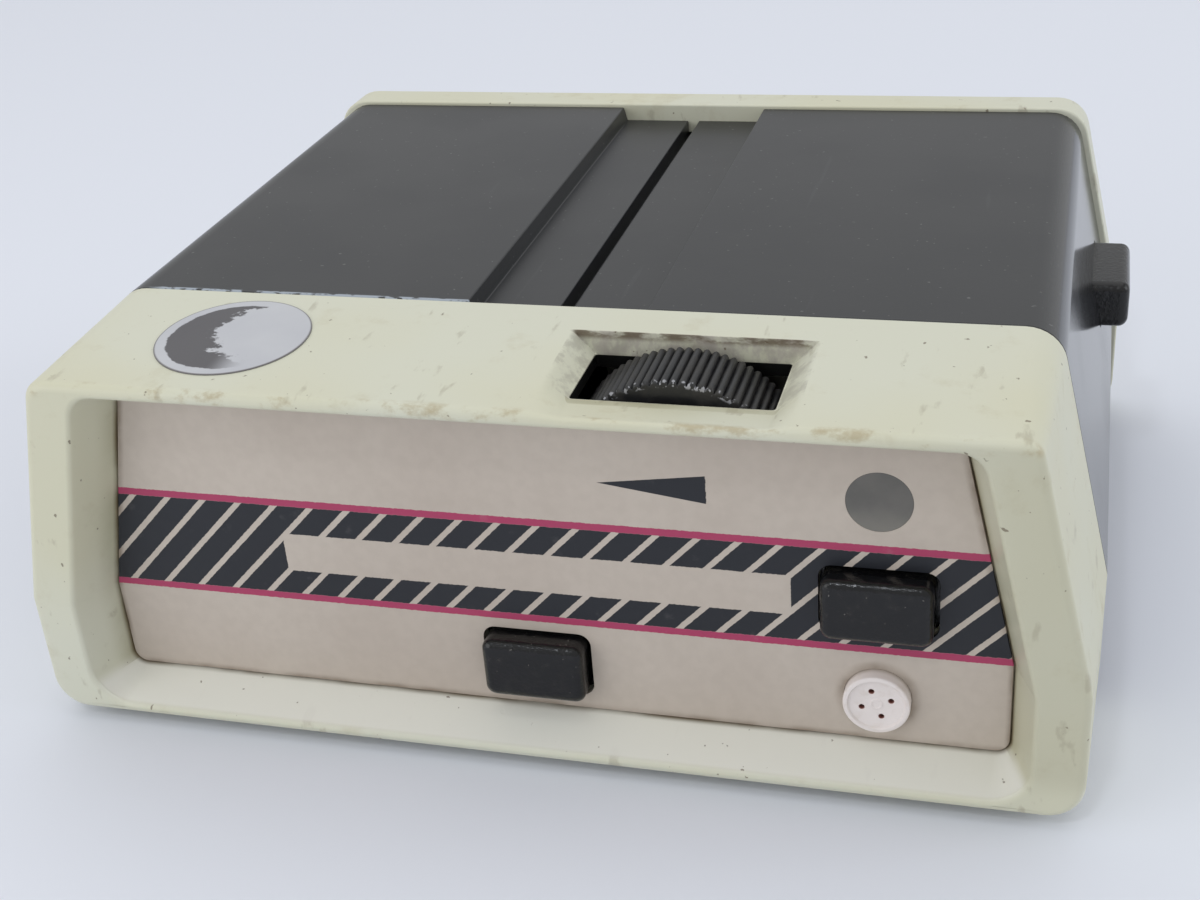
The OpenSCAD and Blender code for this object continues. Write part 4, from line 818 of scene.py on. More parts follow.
def panel_dirt(tree, x, z):
    """Brown dust along the panel's edges and round the microphone cap."""
    half = sums(tree, "ABSOLUTE", x)
    lean = sums(tree, "MULTIPLY_ADD", z, LEAN, half)
    slope = MM * (panel_corners[0][0] + panel_corners[0][1] * LEAN)
    edges = [ramp(tree, lean, slope - 0.0009, slope - 0.0001),
             ramp(tree, half, MM * (panel_corners[1][0] - 0.7), MM * panel_corners[1][0]),
             ramp(tree, z, MM * panel_corners[2][1] + 0.0009, MM * panel_corners[2][1]),
             ramp(tree, z, MM * panel_corners[0][1] - 0.0005, MM * panel_corners[0][1])]
    edges.append(ramp(tree, from_point(tree, x, z, COLUMN_X, MIC_Z), 0.0049, 0.0037))
    total = edges[0]
    for edge in edges[1:]:
        total = sums(tree, "MAXIMUM", total, edge)
    cloud = patches(tree, 260, 0.25, 0.75, 4, offset=(0.4, 0.1, 0.6))
    return product(tree, total, sums(tree, "MULTIPLY_ADD", cloud, 0.55, 0.15))


link_piece("printed_panel_sheet", panel_shape, printed_panel(), "case", "label_print", "panel_label")

# ---------------------------------------------------------------------------
# Lamp window, microphone cap and front buttons
# Small mouldings pushed through the panel from behind: a grey window over the call lamp, a
# pinkish white cap with four sound holes, and two black push buttons.
# ---------------------------------------------------------------------------

WINDOW_FRONT, WINDOW_FLANGE = PANEL_FRONT + 0.01, 0.8
window_profile = [(WINDOW_FRONT, POLE), (WINDOW_FRONT, WINDOW_RADIUS + 0.01),
                  (WINDOW_FRONT + 0.03, WINDOW_RADIUS + 0.04), (SEAT_BACK, WINDOW_RADIUS),
                  (SEAT_BACK, WINDOW_RADIUS + 1), (SEAT_BACK + WINDOW_FLANGE, WINDOW_RADIUS + 1),
                  (SEAT_BACK + WINDOW_FLANGE, POLE)]
window_shape = turned("lamp_window_disc", window_profile, (COLUMN_X, 0, WINDOW_Z), turns=96)
material, tree, shader = new_material("smoked_window", srgb(104, 102, 99), 0.38,
                                      Coat_Weight=0.25, Coat_Roughness=0.2)
haze = patches(tree, 500, 0.3, 0.7, 4)
foot_of_it = ramp(tree, datum_axes(tree)[2], 0.0328, 0.0296)
tone = blended(tree, haze, srgb(92, 90, 85), srgb(101, 98, 93))
coloured(tree, shader, tinted(tree, foot_of_it, 0.5, tone, srgb(140, 136, 126)))
roughened(tree, shader, haze, 0.12, 0.34)
link_piece("lamp_window_smoked", window_shape, material, "case", "window_grey", "lamp_window")

MIC_FRONT, MIC_DISH_RADIUS, MIC_HOLE, MIC_CIRCLE, MIC_TURN = 4.6, 3.0, 0.3, 1.65, 19
rim = [(MIC_FRONT + u, MIC_RADIUS - v) for u, v in quarter(0.22, 4)]
dish_steps = [(0.3, POLE), (0.3, 0.42), (0.22, 0.5), (0.22, 0.62), (0.3, 0.72),
              (0.3, MIC_DISH_RADIUS - 0.14), (0.24, MIC_DISH_RADIUS - 0.04),
              (0.1, MIC_DISH_RADIUS + 0.02), (0, MIC_DISH_RADIUS + 0.12)]
dish = [(MIC_FRONT + depth, radius) for depth, radius in dish_steps]
cap_back = [(SEAT_BACK, MIC_RADIUS), (SEAT_BACK, MIC_RADIUS + 1), (SEAT_BACK + 1, MIC_RADIUS + 1),
            (SEAT_BACK + 1, 2.6), (MIC_FRONT + 1.2, 2.6), (MIC_FRONT + 1.2, POLE)]
cap_shape = turned("mic_cap_round", dish + rim + cap_back, (COLUMN_X, 0, MIC_Z), turns=96)
sound_holes = []
for i in range(4):
    a = math.radians(90 * i + MIC_TURN)
    x, z = COLUMN_X + MIC_CIRCLE * math.cos(a), MIC_Z + MIC_CIRCLE * math.sin(a)
    hole_steps = [(-0.2, POLE), (-0.2, MIC_HOLE + 0.12), (0.3, MIC_HOLE + 0.08), (0.38, MIC_HOLE),
                  (2, MIC_HOLE), (2, POLE)]
    profile = [(MIC_FRONT + depth, radius) for depth, radius in hole_steps]
    sound_holes.append(turned("sound_hole", profile, (x, 0, z), turns=24))
cap_shape = carve(cap_shape, sound_holes, smooth=35)
material, tree, shader = new_material("pinkish_white_plastic", srgb(232, 222, 219), 0.36)
x, y, z = datum_axes(tree)
soil = patches(tree, 900, 0.5, 0.75, 4)
low_soil = ramp(tree, y, 0.0054, 0.0063)
off_centre = from_point(tree, x, z, COLUMN_X, MIC_Z)
in_holes = product(tree, ramp(tree, y, 0.00492, 0.00500), ramp(tree, off_centre, 0.0024, 0.0022))
tone = tinted(tree, soil, 0.25, srgb(236, 227, 223), srgb(206, 190, 174))
tone = tinted(tree, low_soil, 0.5, tone, srgb(146, 124, 98))
coloured(tree, shader, blended(tree, in_holes, tone, srgb(156, 106, 96)))
link_piece("mic_cap_drilled", cap_shape, material, "case", "mic_white", "mic_cap")

BUTTON_WIDE, BUTTON_HIGH, BUTTON_FRONT, BUTTON_ROUND, BUTTON_CORNER = 11.7, 7.3, 3.4, 1.05, 1.2
FLANGE_FRONT, FLANGE_BACK, STEM_BACK, STEM_RADIUS = 8.2, 9.2, 11.0, 2.0


def button_ring(y, wide, high, corner, place):
    """One rounded ring of a front button, at depth y about place."""
    return at_depth(rounded_rectangle(wide, high, corner, 6) + place, y)


def front_button(name, place):
    """A press button along Y: a crowned face with soft edges, a flange behind the panel, a stem.
    The face's rings shrink by a quarter round, then rise 0.1 to the middle as a low crown."""
    rings = []
    for share in (0.04, 0.35, 0.7):
        shrink = 2 * BUTTON_ROUND
        rise = 0.10 * (1 - share ** 2)
        rings.append(button_ring(BUTTON_FRONT + 0.10 - rise, (BUTTON_WIDE - shrink) * share,
                                 (BUTTON_HIGH - shrink) * share, 0.3 * share, place))
    for a in quarter_turn(15)[::-1]:
        shrink = 2 * BUTTON_ROUND * (1 - math.cos(a))
        y = BUTTON_FRONT + 0.10 + (BUTTON_ROUND - 0.10) * (1 - math.sin(a))
        rings.append(button_ring(y, BUTTON_WIDE - shrink, BUTTON_HIGH - shrink,
                                 BUTTON_CORNER - 0.35 * shrink, place))
    rings.append(button_ring(FLANGE_FRONT, BUTTON_WIDE, BUTTON_HIGH, BUTTON_CORNER, place))
    for y in (FLANGE_FRONT, FLANGE_BACK):
        rings.append(button_ring(y, BUTTON_WIDE + 2.2, BUTTON_HIGH + 2.2, BUTTON_CORNER, place))
    for y in (FLANGE_BACK, STEM_BACK):
        rings.append(button_ring(y, 2 * STEM_RADIUS, 2 * STEM_RADIUS, STEM_RADIUS - 0.01, place))
    return skin(name, rings, smooth=35)


def black_moulding(name, colour=srgb(16, 16, 18), roughness=0.15):
    """Black moulded plastic with a fine leathery grain, polished by fingers, with some dust."""
    material, tree, shader = new_material(name, colour, roughness, Specular_IOR_Level=0.42)
    dust = patches(tree, 700, 0.5, 0.75, 5, roughness=0.65)
    specks = patches(tree, 2600, 0.75, 0.78, 1)
    tone = tinted(tree, dust, 0.05, colour, srgb(140, 134, 124))
    coloured(tree, shader, tinted(tree, specks, 0.3, tone, srgb(170, 166, 158)))
    roughened(tree, shader, dust, 0.12, roughness)
    leather = patches(tree, 2300, 0.3, 0.7, 3)
    raised(tree, shader, leather, 0.000026, 0.8)
    return material


button_finish = black_moulding("finger_polished_black")
for name, place in (("talk_button", (COLUMN_X, TALK_Z)), ("call_button", (CALL_X, CALL_Z))):
    shape = front_button(name + "_face", place)
    flat_faces_first(link_piece(name + "_moulding", shape, button_finish, name, "button_black", name))

# ---------------------------------------------------------------------------
# Volume wheel
# A black moulded wheel with 80 rounded knurls, on a steel shaft behind the panel. Its rim
# stands in the thumb pocket, and its knurls are worn pale at their front ends.
# ---------------------------------------------------------------------------

WHEEL_RADIUS, WHEEL_FRONT, WHEEL_BACK, KNURLS, KNURL_DEEP = 12.9, 8.3, 16.8, 80, 0.55
STEPS_PER_KNURL, WHEEL_BORE, WHEEL_WEB, WHEEL_EDGE = 8, 3.06, 11.3, 0.45
angle = np.linspace(0, 2 * math.pi, KNURLS * STEPS_PER_KNURL, endpoint=False)
wave = np.abs(np.cos(angle * KNURLS / 2))
knurl = KNURL_DEEP * (1 - wave ** 0.7)


def wheel_ring(y, radius, depth_share):
    """A ring at depth y, whose radius dips between the knurls by a share of their depth."""
    r = radius - depth_share * knurl
    return np.column_stack([AXLE_X + r * np.cos(angle), np.full(len(angle), y), AXLE_Z + r * np.sin(angle)])


wheel_rings = [wheel_ring(WHEEL_FRONT + 1, WHEEL_BORE, 0), wheel_ring(WHEEL_FRONT + 1, 7.5, 0),
               wheel_ring(WHEEL_FRONT + 0.9, 7.7, 0), wheel_ring(WHEEL_FRONT + 0.1, 7.75, 0),
               wheel_ring(WHEEL_FRONT, 7.9, 0), wheel_ring(WHEEL_FRONT, WHEEL_WEB, 0),
               wheel_ring(WHEEL_FRONT + 0.12, 12.1, 0.1)]
for a in quarter_turn(18):
    wheel_rings.append(wheel_ring(WHEEL_FRONT + 0.12 + WHEEL_EDGE * (1 - math.cos(a)),
                                  WHEEL_RADIUS - WHEEL_EDGE * (1 - math.sin(a)), 0.35 + 0.65 * math.sin(a)))
for a in quarter_turn(18)[::-1]:
    wheel_rings.append(wheel_ring(WHEEL_BACK - WHEEL_EDGE * (1 - math.cos(a)),
                                  WHEEL_RADIUS - WHEEL_EDGE * (1 - math.sin(a)), 0.35 + 0.65 * math.sin(a)))
wheel_rings += [wheel_ring(WHEEL_BACK, WHEEL_WEB, 0), wheel_ring(WHEEL_BACK, WHEEL_BORE, 0)]
wheel_shape = skin("thumbwheel_knurled", wheel_rings, closed=True, smooth=50)
material, tree, shader = new_material("worn_black_wheel", srgb(33, 33, 35), 0.38)
x, y, z = datum_axes(tree)
reach = from_point(tree, x, z, AXLE_X, AXLE_Z)
ridge_ends = product(tree, ramp(tree, y, 0.0089, 0.0086), ramp(tree, reach, 0.0120, 0.0123))
glints = patches(tree, 1900, 0.54, 0.62, 2)
dust = patches(tree, 420, 0.42, 0.7, 5)
tone = tinted(tree, dust, 0.08, srgb(33, 33, 35), srgb(128, 120, 108))
coloured(tree, shader, blended(tree, product(tree, ridge_ends, glints, 0.7), tone,
                               srgb(190, 190, 196)))
roughened(tree, shader, dust, 0.2, 0.36)
raised(tree, shader, patches(tree, 3000, 0.2, 0.8, 2), 0.000012, 0.4)
link_piece("thumbwheel_moulding", wheel_shape, material, "volume_wheel", "button_black", "thumbwheel")

# ---------------------------------------------------------------------------
# Side button
# A long black push button through the sleeve's right side, near the back, with a flange
# inside the wall and a stem that works the switch on the main board.
# ---------------------------------------------------------------------------

SIDE_OUT, SIDE_FLANGE_X, SIDE_FLANGE_THICK, SIDE_FLANGE = 62.5, 55.49, 1.2, 0.7
side_rings = []
side_places = []


def side_ring(x, long, high, corner):
    """Adds one rounded ring of the side button at x."""
    side_rings.append(rounded_rectangle(long, high, corner, 6))
    side_places.append(x)


side_ring(SIDE_FLANGE_X - 3.0, 2 * STEM_RADIUS, 2 * STEM_RADIUS, STEM_RADIUS - 0.01)
side_ring(SIDE_FLANGE_X - SIDE_FLANGE_THICK, 2 * STEM_RADIUS, 2 * STEM_RADIUS, STEM_RADIUS - 0.01)
for x in (SIDE_FLANGE_X - SIDE_FLANGE_THICK, SIDE_FLANGE_X):
    side_ring(x, SIDE_BUTTON_LONG + 2 * SIDE_FLANGE, SIDE_BUTTON_HIGH + 2 * SIDE_FLANGE, SIDE_ROUND)
side_ring(SIDE_FLANGE_X, SIDE_BUTTON_LONG, SIDE_BUTTON_HIGH, SIDE_ROUND)
for a in quarter_turn(15):
    shrink = 2 * SIDE_ROUND * (1 - math.cos(a))
    side_ring(SIDE_OUT - SIDE_ROUND * (1 - math.sin(a)), SIDE_BUTTON_LONG - shrink,
              SIDE_BUTTON_HIGH - shrink, SIDE_ROUND + 0.05 - 0.35 * shrink)
side_shape = skin("side_button_slab", side_slab(side_rings, side_places), smooth=35)
flat_faces_first(link_piece("side_button_moulding", side_shape, button_finish, "side_button", "button_black",
                            "side_button"))

# ---------------------------------------------------------------------------
# Round sticker
# A pale lavender paper disc stuck on the bezel's top, left blank, rubbed dark where a thumb
# lifts the unit, with a dark ring at its edge.
# ---------------------------------------------------------------------------

STICKER_X, STICKER_Y, STICKER_RADIUS, STICKER_THICK = -34.4, 12.7, 8.8, 0.13
a = np.linspace(0, 2 * math.pi, 96, endpoint=False)


def sticker_ring(radius, lift):
    """A ring on the sloping top: Z follows the bezel's draft at each point's depth."""
    x, y = STICKER_X + radius * np.cos(a), STICKER_Y + radius * np.sin(a)
    return np.column_stack([x, y, bezel_top(y) + 0.02 + lift])


sticker_shape = skin("sticker_disc", [sticker_ring(STICKER_RADIUS, 0), sticker_ring(STICKER_RADIUS, 0.08),
                                      sticker_ring(STICKER_RADIUS - 0.05, STICKER_THICK)], smooth=30)
material, tree, shader = new_material("rubbed_sticker_paper", srgb(198, 199, 204), 0.42)
x, y, z = datum_axes(tree)
offset = from_point(tree, x, y, STICKER_X, STICKER_Y)
edge = ramp(tree, offset, 0.00855, 0.00875)
rub = patches(tree, 260, 0.2, 0.8, 6, (1, 1.6, 1), 0.7)
ragged = sums(tree, "MULTIPLY_ADD", rub, 0.0034, -0.0017)
inside_ring = ramp(tree, sums(tree, "ADD", offset, product(tree, ragged, 0.15)), 0.0076, 0.0074)
clear = from_point(tree, x, y, STICKER_X + 4.3, STICKER_Y + 1.6)
crescent = ramp(tree, sums(tree, "ADD", clear, ragged), 0.0066, 0.0072)
worn = product(tree, inside_ring, crescent, ramp(tree, x, -0.0300, -0.0345))
paper_cloud = product(tree, patches(tree, 90, 0.3, 0.7, 3), 0.6)
tone = blended(tree, paper_cloud, srgb(196, 197, 201), srgb(182, 183, 190))
tone = tinted(tree, worn, 0.92, tone, srgb(66, 63, 66))
coloured(tree, shader, tinted(tree, edge, 0.8, tone, srgb(84, 78, 76)))
raised(tree, shader, patches(tree, 700, 0.3, 0.7, 3), 0.00001, 0.3)
link_piece("round_sticker_paper", sticker_shape, material, "case", "sticker_paper", "round_sticker")

# ---------------------------------------------------------------------------
# Rear cover
# A cream moulded lid a little prouder than the sleeve. Four long screws in counterbored
# holes draw it, the sleeve and the bezel together, and the two jacks look out through it.
# ---------------------------------------------------------------------------

COVER_BACK, COVER_PLATE, COVER_WALL = 101.4, 99.4, 2.6
COVER_SIDE, COVER_TOP, COVER_FRONT_EDGE, COVER_ROUND = -0.85, -0.5, 0.3, 0.8
COUNTERBORE_Y, COUNTERBORE_RADIUS = 99.2, 3.0
JACKS = [(-30.0, 26.6), (-12.0, 26.6)]


def cover_loop(y, shrink):
    """The cover's outline at depth y, moved in by shrink."""
    corners = case_corners(COVER_SIDE + shrink, COVER_TOP + shrink, shrink)
    bottom = BOTTOM_RADIUS - shrink
    radii = [TOP_RADIUS, FOLD_RADIUS, bottom, bottom, FOLD_RADIUS, TOP_RADIUS]
    return at_depth(outline(corners, radii, 8), y)


cover_loops = []
for a in quarter_turn(22.5):
    cover_loops.append(cover_loop(SLEEVE_BACK + COVER_FRONT_EDGE * (1 - math.sin(a)),
                                  COVER_FRONT_EDGE * (1 - math.cos(a))))
cover_loops = cover_loops[::-1]
for a in quarter_turn(15):
    cover_loops.append(cover_loop(COVER_BACK - COVER_ROUND * (1 - math.sin(a)),
                                  COVER_ROUND * (1 - math.cos(a))))
cover_shape = carve(skin("rear_moulding", cover_loops),
                    [case_prism(SLEEVE_BACK - 0.5, COVER_PLATE, COVER_WALL, 2.0)])
for addition in [spigot(SLEEVE_BACK - SPIGOT_LONG, SLEEVE_BACK + 0.6)] + [
        rod(x, z, SLEEVE_BACK + 0.5, COVER_PLATE + 0.5, BOSS_RADIUS) for x, z in TIE_POINTS]:
    cover_shape = carve(cover_shape, [addition], "UNION")
bores = []
for x, z in TIE_POINTS:
    bores.append(rod(x, z, SLEEVE_BACK - 0.5, COVER_BACK + 1, 1.7))
    profile = [(COUNTERBORE_Y, POLE), (COUNTERBORE_Y, COUNTERBORE_RADIUS),
               (COVER_BACK - 0.2, COUNTERBORE_RADIUS), (COVER_BACK + 0.05, COUNTERBORE_RADIUS + 0.25),
               (COVER_BACK + 0.05, POLE)]
    bores.append(turned("counterbore", profile, (x, 0, z), turns=48))
bores += [rod(x, z, COVER_PLATE - 1, COVER_BACK + 1, 4.05, turns=64) for x, z in JACKS]
cover_shape = carve(cover_shape, bores, smooth=32)
cover_finish = cream_plastic("aged_cream_cover", CREAM)
flat_faces_first(link_piece("rear_cover_moulding", cover_shape, cover_finish, "case",
                            "case_cream", "rear_cover"))


def plated_steel(name, colour, roughness):
    """Bright plated or bare metal with turned marks and fingerprints."""
    material, tree, shader = new_material(name, colour, roughness, Metallic=1.0)
    smudge = patches(tree, 300, 0.35, 0.7, 4)
    tarnish = patches(tree, 900, 0.6, 0.75, 4)
    dark = tuple(0.45 * c for c in colour[:3]) + (1.0,)
    coloured(tree, shader, tinted(tree, tarnish, 0.6, colour, dark))
    roughened(tree, shader, smudge, 0.22, roughness)
    raised(tree, shader, patches(tree, 1200, 0.2, 0.8, 2, (1, 0.1, 1)), 0.000006, 0.4)
    return material


screw_steel = plated_steel("zinc_plated_steel", srgb(176, 178, 182), 0.28)
TIE_TIP, TIE_HEAD_Y, TIE_HEAD_HIGH, TIE_HEAD_RADIUS, TIE_RADIUS = 19.2, 99.2, 2.0, 2.8, 1.5
TIE_PITCH = 0.7
screws = []
for x, z in TIE_POINTS:
    thread = np.arange(TIE_TIP + 0.5, TIE_TIP + 9.5, TIE_PITCH / 2)
    threaded = [(y, TIE_RADIUS - (0.28 if i % 2 else 0.0)) for i, y in enumerate(thread)]
    head = [(TIE_HEAD_Y + TIE_HEAD_HIGH - u, TIE_HEAD_RADIUS - v) for u, v in quarter(0.5)[::-1]]
    profile = [(TIE_TIP, POLE), (TIE_TIP, 1.1), *threaded, (thread[-1] + 0.4, TIE_RADIUS),
               (TIE_HEAD_Y, TIE_RADIUS), (TIE_HEAD_Y, TIE_HEAD_RADIUS), *head,
               (TIE_HEAD_Y + TIE_HEAD_HIGH, POLE)]
    screw = turned("tie_screw", profile, (x, 0, z), turns=40)
    screws.append(carve(screw, [box_mesh((x - 4, TIE_HEAD_Y + TIE_HEAD_HIGH - 0.8, z - 0.4),
                                         (x + 4, TIE_HEAD_Y + TIE_HEAD_HIGH + 1, z + 0.4))]))
screw_shape = joined("tie_screws_set", screws, 30)
link_piece("tie_screws_slotted", screw_shape, screw_steel, "case", "steel", "tie_screws")

# ---------------------------------------------------------------------------
# Feet
# Four stuck-on rubber discs with a dished face and a small chamfer.
# ---------------------------------------------------------------------------

FOOT_X, FOOT_FRONT_Y, FOOT_REAR_Y, FOOT_HIGH, FOOT_RADIUS = 46.0, 12.0, 88.0, 1.6, 5.0
rubber, tree, shader = new_material("foot_rubber", srgb(34, 34, 35), 0.78)
scuff = patches(tree, 500, 0.45, 0.7, 5)
coloured(tree, shader, tinted(tree, scuff, 0.35, srgb(34, 34, 35), srgb(112, 108, 102)))
raised(tree, shader, patches(tree, 2200, 0.3, 0.7, 3), 0.00003, 0.6)
for name, x, y in (("foot_front_left", -FOOT_X, FOOT_FRONT_Y), ("foot_front_right", FOOT_X, FOOT_FRONT_Y),
                   ("foot_rear_left", -FOOT_X, FOOT_REAR_Y), ("foot_rear_right", FOOT_X, FOOT_REAR_Y)):
    profile = [(0, POLE), (0, FOOT_RADIUS), (-FOOT_HIGH + 0.4, FOOT_RADIUS),
               (-FOOT_HIGH + 0.1, FOOT_RADIUS - 0.12), (-FOOT_HIGH, FOOT_RADIUS - 0.4), (-FOOT_HIGH, 3.6),
               (-FOOT_HIGH + 0.25, 3.2), (-FOOT_HIGH + 0.25, POLE)]
    foot = turned(name + "_disc", profile, (x, y, 0), "Z", 64)
    link_piece(name + "_rubber", foot, rubber, "case", "black_rubber", name)

# ---------------------------------------------------------------------------
# What is inside
# The boards, switches, loudspeaker and transformer keep their CAD shapes. Each takes the look
# of its kind: lacquered boards, white plungers, blue sleeved cans, a laminated core.
# ---------------------------------------------------------------------------


def finish_nodes(material, *names):
    """Gives a material to CAD nodes whose shapes are kept."""
    for name in names:
        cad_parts[name].material_slots[0].material = material


def clouded(name, colour, second, roughness, scale=400, amount=0.4, metallic=0.0):
    """Moulded or pressed stuff of one colour, clouded with a second one and lightly grained."""
    material, tree, shader = new_material(name, colour, roughness, Metallic=metallic)
    cloud = patches(tree, scale, 0.35, 0.7, 4)
    coloured(tree, shader, tinted(tree, cloud, amount, colour, second))
    roughened(tree, shader, cloud, 0.15, roughness)
    raised(tree, shader, patches(tree, 5 * scale, 0.2, 0.8, 2), 0.00001, 0.4)
    return material, tree, shader


def painted_over(tree, shader, mask, colour, metal=0.0, roughness=0.35):
    """Lays another finish over a material where mask is 1."""
    for socket, value in (("Base Color", colour), ("Metallic", metal), ("Roughness", roughness)):
        under = shader.inputs[socket]
        first = under.links[0].from_socket if under.links else under.default_value
        if socket == "Base Color":
            result = blended(tree, mask, first, value)
        else:
            change = sums(tree, "SUBTRACT", value, first)
            result = sums(tree, "MULTIPLY_ADD", mask, change, first)
        tree.links.new(result, under)


def every(tree, value, pitch, share):
    """1 over a share of each pitch along an axis, for tracks, pads, strands and laminations."""
    along = sums(tree, "MODULO", sums(tree, "SUBTRACT", value, -CLEAR_PITCHES * pitch), pitch)
    return ramp(tree, along, share * pitch + 0.03 * pitch, share * pitch - 0.03 * pitch)


def past(tree, value, limit, soft=0.1):
    """1 beyond a limit in millimetres, reached over soft millimetres, which may be negative."""
    return ramp(tree, value, MM * limit, MM * limit + MM * soft)


TIN = srgb(196, 198, 198)

finish_nodes(rubber, "mic_boot")
zinc = plated_steel("passivated_zinc", srgb(190, 188, 178), 0.30)
finish_nodes(zinc, "volume_bracket", "speaker_basket", "volume_nut", "switch_board_screws", "bracket_screws")
finish_nodes(screw_steel, "volume_shaft", "talk_spring", "call_spring", "side_spring", "speaker_screws",
             "speaker_nuts")
finish_nodes(plated_steel("spun_aluminium", srgb(206, 208, 210), 0.36), "mic_capsule", "heat_sink")
finish_nodes(plated_steel("turned_brass", srgb(214, 176, 104), 0.26), "brass_inserts")
nylon, _, _ = clouded("white_nylon", srgb(226, 224, 214), srgb(206, 200, 182), 0.42)
finish_nodes(nylon, "talk_plunger", "call_plunger", "side_plunger")
switch_blue, _, _ = clouded("dark_blue_switch_case", srgb(34, 48, 84), srgb(58, 70, 98), 0.38)
finish_nodes(switch_blue, "talk_switch", "call_switch", "side_switch")
PRESS_TRAVELS = {"talk": ((0, 1, 0), 1.8), "call": ((0, 1, 0), 1.8), "side": ((1, 0, 0), 2.0)}
for button, (way, travel) in PRESS_TRAVELS.items():
    low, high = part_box(button + "_spring")
    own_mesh(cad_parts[button + "_spring"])
felt, _, _ = clouded("grey_felt", srgb(74, 71, 68), srgb(104, 99, 92), 0.92, 900, 0.6)
finish_nodes(felt, "speaker_gasket")
red_wire, _, _ = clouded("red_insulation", srgb(168, 36, 34), srgb(138, 26, 26), 0.45)
finish_nodes(red_wire, "speaker_wires")

LENS_BACK_Y = 16.62
material, tree, shader = clouded("red_lamp", srgb(176, 24, 18), srgb(204, 52, 36), 0.12)
painted_over(tree, shader, past(tree, datum_axes(tree)[1], LENS_BACK_Y), TIN, 1.0)
finish_nodes(material, "call_lamp")


def circuit_board(name, across, along, pads):
    """A lacquered board: tracks that show as lighter runs, tinned pads on a grid and flux stains.
    across and along are the axis numbers of the board's two long ways."""
    material, tree, shader = clouded(name, srgb(34, 92, 58), srgb(46, 108, 70), 0.32, 120)
    axes = datum_axes(tree)
    u, v = axes[across], axes[along]
    regions = patches(tree, 130, 0.48, 0.52, 1)
    rows_of_track = product(tree, every(tree, u, 0.00254, 0.42), regions)
    columns = product(tree, every(tree, v, 0.00254, 0.42), sums(tree, "SUBTRACT", 1.0, regions))
    tracks = sums(tree, "MAXIMUM", rows_of_track, columns)
    painted_over(tree, shader, product(tree, tracks, 0.55), srgb(78, 150, 92), 0.0, 0.28)
    grid = product(tree, every(tree, u, 0.00508, 0.24), every(tree, v, 0.00508, 0.24))
    chosen = patches(tree, pads, 0.5, 0.53, 1, offset=(0.3, 0.8, 0.5))
    painted_over(tree, shader, product(tree, grid, chosen), TIN, 1.0, 0.3)
    flux = patches(tree, 210, 0.58, 0.74, 5)
    painted_over(tree, shader, product(tree, flux, 0.25), srgb(120, 98, 48), 0.0, 0.2)
    return material


finish_nodes(circuit_board("green_main_board", 0, 1, 150), "main_board")
finish_nodes(circuit_board("green_switch_board", 0, 2, 210), "switch_board")

CORE_PLATE, CORE_X, CORE_Y, CORE_DEEP_HALF, WINDING_HALF = 0.5, -40.31, 53.1, 6.02, 6.85
material, tree, shader = clouded("laminated_iron", srgb(92, 88, 82), srgb(112, 96, 78), 0.45, 300, 0.5, 0.8)
x, y, z = datum_axes(tree)
gaps = product(tree, every(tree, y, MM * CORE_PLATE, 0.2), 0.6)
painted_over(tree, shader, gaps, srgb(38, 34, 30), 0.0, 0.6)
across = within(tree, x, MM * (CORE_X - WINDING_HALF), MM * (CORE_X + WINDING_HALF))
from_middle = sums(tree, "ABSOLUTE", sums(tree, "SUBTRACT", y, MM * CORE_Y))
winding = product(tree, across, sums(tree, "GREATER_THAN", from_middle, MM * CORE_DEEP_HALF))
painted_over(tree, shader, winding, srgb(196, 168, 62), 0.0, 0.3)
finish_nodes(material, "line_transformer")

CHIP_LEGS_TOP = 24.6
material, tree, shader = clouded("black_epoxy", srgb(30, 30, 32), srgb(44, 44, 46), 0.5, 900)
painted_over(tree, shader, past(tree, datum_axes(tree)[2], CHIP_LEGS_TOP, -0.1), TIN, 1.0)
finish_nodes(material, "amplifier_chip")

CAN_RIM = 0.8
for name, top in (("large_capacitors", 36.6), ("small_capacitors", 28.6)):
    material, tree, shader = clouded("sleeved_" + name, srgb(30, 62, 120), srgb(40, 74, 132), 0.28)
    painted_over(tree, shader, past(tree, datum_axes(tree)[2], top - CAN_RIM), TIN, 1.0)
    finish_nodes(material, name)

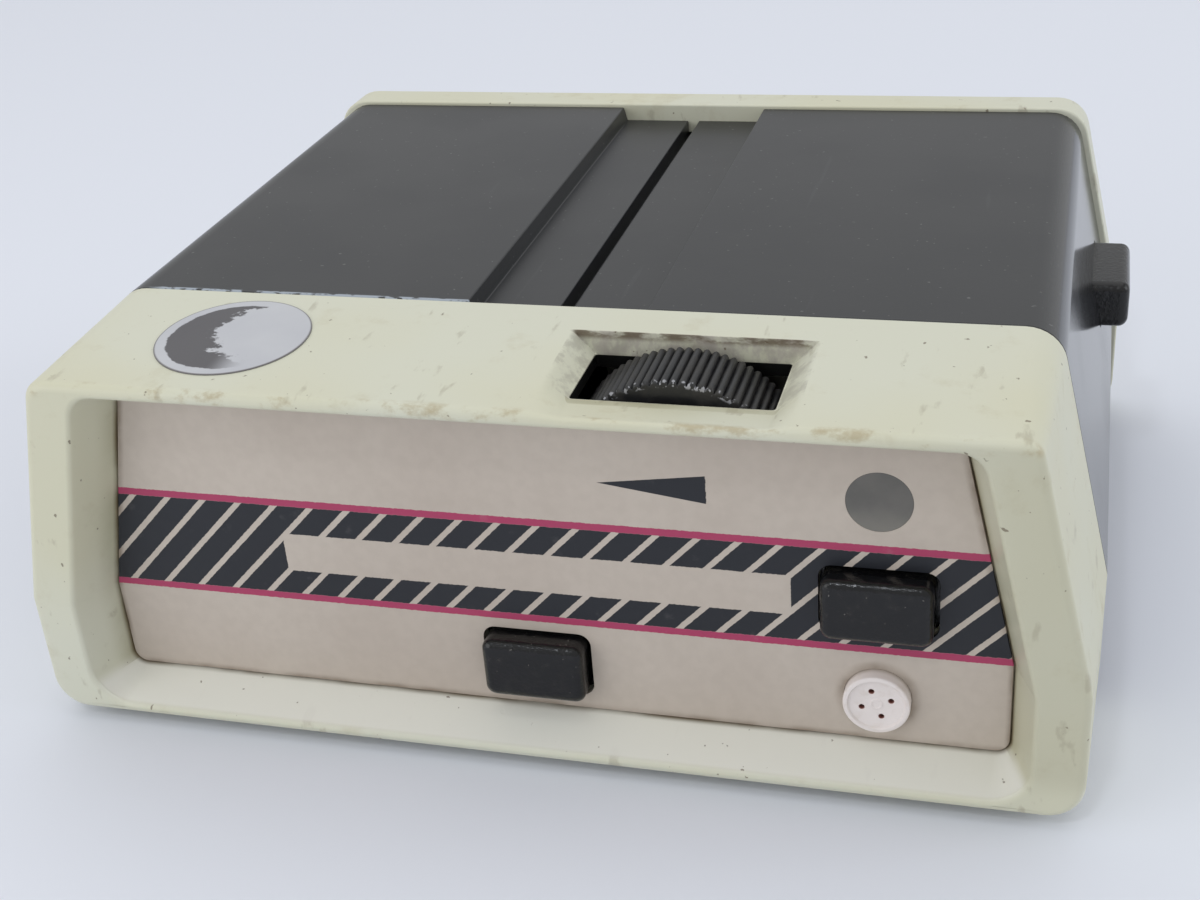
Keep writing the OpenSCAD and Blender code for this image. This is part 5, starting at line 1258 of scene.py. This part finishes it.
RESISTOR_MIDDLE_Y, BAND_WIDE, BODY_HALF = 68.4, 0.5, 2.8
material, tree, shader = clouded("resistor_lacquer", srgb(202, 170, 122), srgb(186, 152, 106), 0.35)
x, y, z = datum_axes(tree)
bands = {-2.2: srgb(112, 62, 30), -1.2: srgb(24, 22, 22), -0.2: srgb(176, 40, 30), 1.5: srgb(196, 152, 60)}
for start, colour in bands.items():
    low = MM * (RESISTOR_MIDDLE_Y + start)
    painted_over(tree, shader, within(tree, y, low, low + MM * BAND_WIDE), colour)
body = within(tree, y, MM * (RESISTOR_MIDDLE_Y - BODY_HALF), MM * (RESISTOR_MIDDLE_Y + BODY_HALF))
off_body = sums(tree, "SUBTRACT", 1.0, body)
painted_over(tree, shader, off_body, TIN, 1.0)
finish_nodes(material, "resistors")

NOSE_FRONT_Y, BARREL_RADIUS = 100.9, 2.7
for name, place in zip(("dc_jack", "line_socket"), JACKS):
    material, tree, shader = clouded("black_" + name, srgb(28, 28, 30), srgb(48, 47, 46), 0.42)
    x, y, z = datum_axes(tree)
    ring = product(tree, past(tree, y, NOSE_FRONT_Y),
                   past(tree, from_point(tree, x, z, *place), BARREL_RADIUS))
    painted_over(tree, shader, ring, TIN, 1.0, 0.25)
    finish_nodes(material, name)

material, tree, shader = clouded("grey_pot_case", srgb(150, 148, 140), srgb(122, 118, 108), 0.34,
                                 300, 0.5, 1.0)
painted_over(tree, shader, within(tree, datum_axes(tree)[1], 0.0219, 0.0231), srgb(112, 66, 38), 0.0, 0.5)
finish_nodes(material, "volume_pot")

material, tree, shader = clouded("grey_ribbon", srgb(150, 152, 158), srgb(134, 136, 142), 0.4)
core = every(tree, datum_axes(tree)[0], 0.0012, 0.22)
painted_over(tree, shader, product(tree, core, 0.6), srgb(92, 94, 100), 0.0, 0.45)
painted_over(tree, shader, within(tree, datum_axes(tree)[0], -0.0062, -0.0049), srgb(164, 46, 42), 0.0, 0.4)
finish_nodes(material, "ribbon_cable")

material, tree, shader = clouded("black_paper_cone", srgb(40, 38, 36), srgb(58, 55, 51), 0.85, 700, 0.6)
x, y, z = datum_axes(tree)
rings_of_cone = every(tree, from_point(tree, x, y, 0, SPEAKER_Y), 0.0011, 0.5)
painted_over(tree, shader, product(tree, rings_of_cone, 0.5), srgb(26, 25, 24), 0.0, 0.8)
finish_nodes(material, "speaker_cone")

material, tree, shader = clouded("ferrite_and_steel", srgb(58, 60, 64), srgb(76, 76, 78), 0.5, 500)
z = datum_axes(tree)[2]
plates = sums(tree, "MAXIMUM", ramp(tree, z, 0.0129, 0.0128), ramp(tree, z, 0.0159, 0.0160))
painted_over(tree, shader, plates, TIN, 1.0, 0.35)
finish_nodes(material, "speaker_magnet")
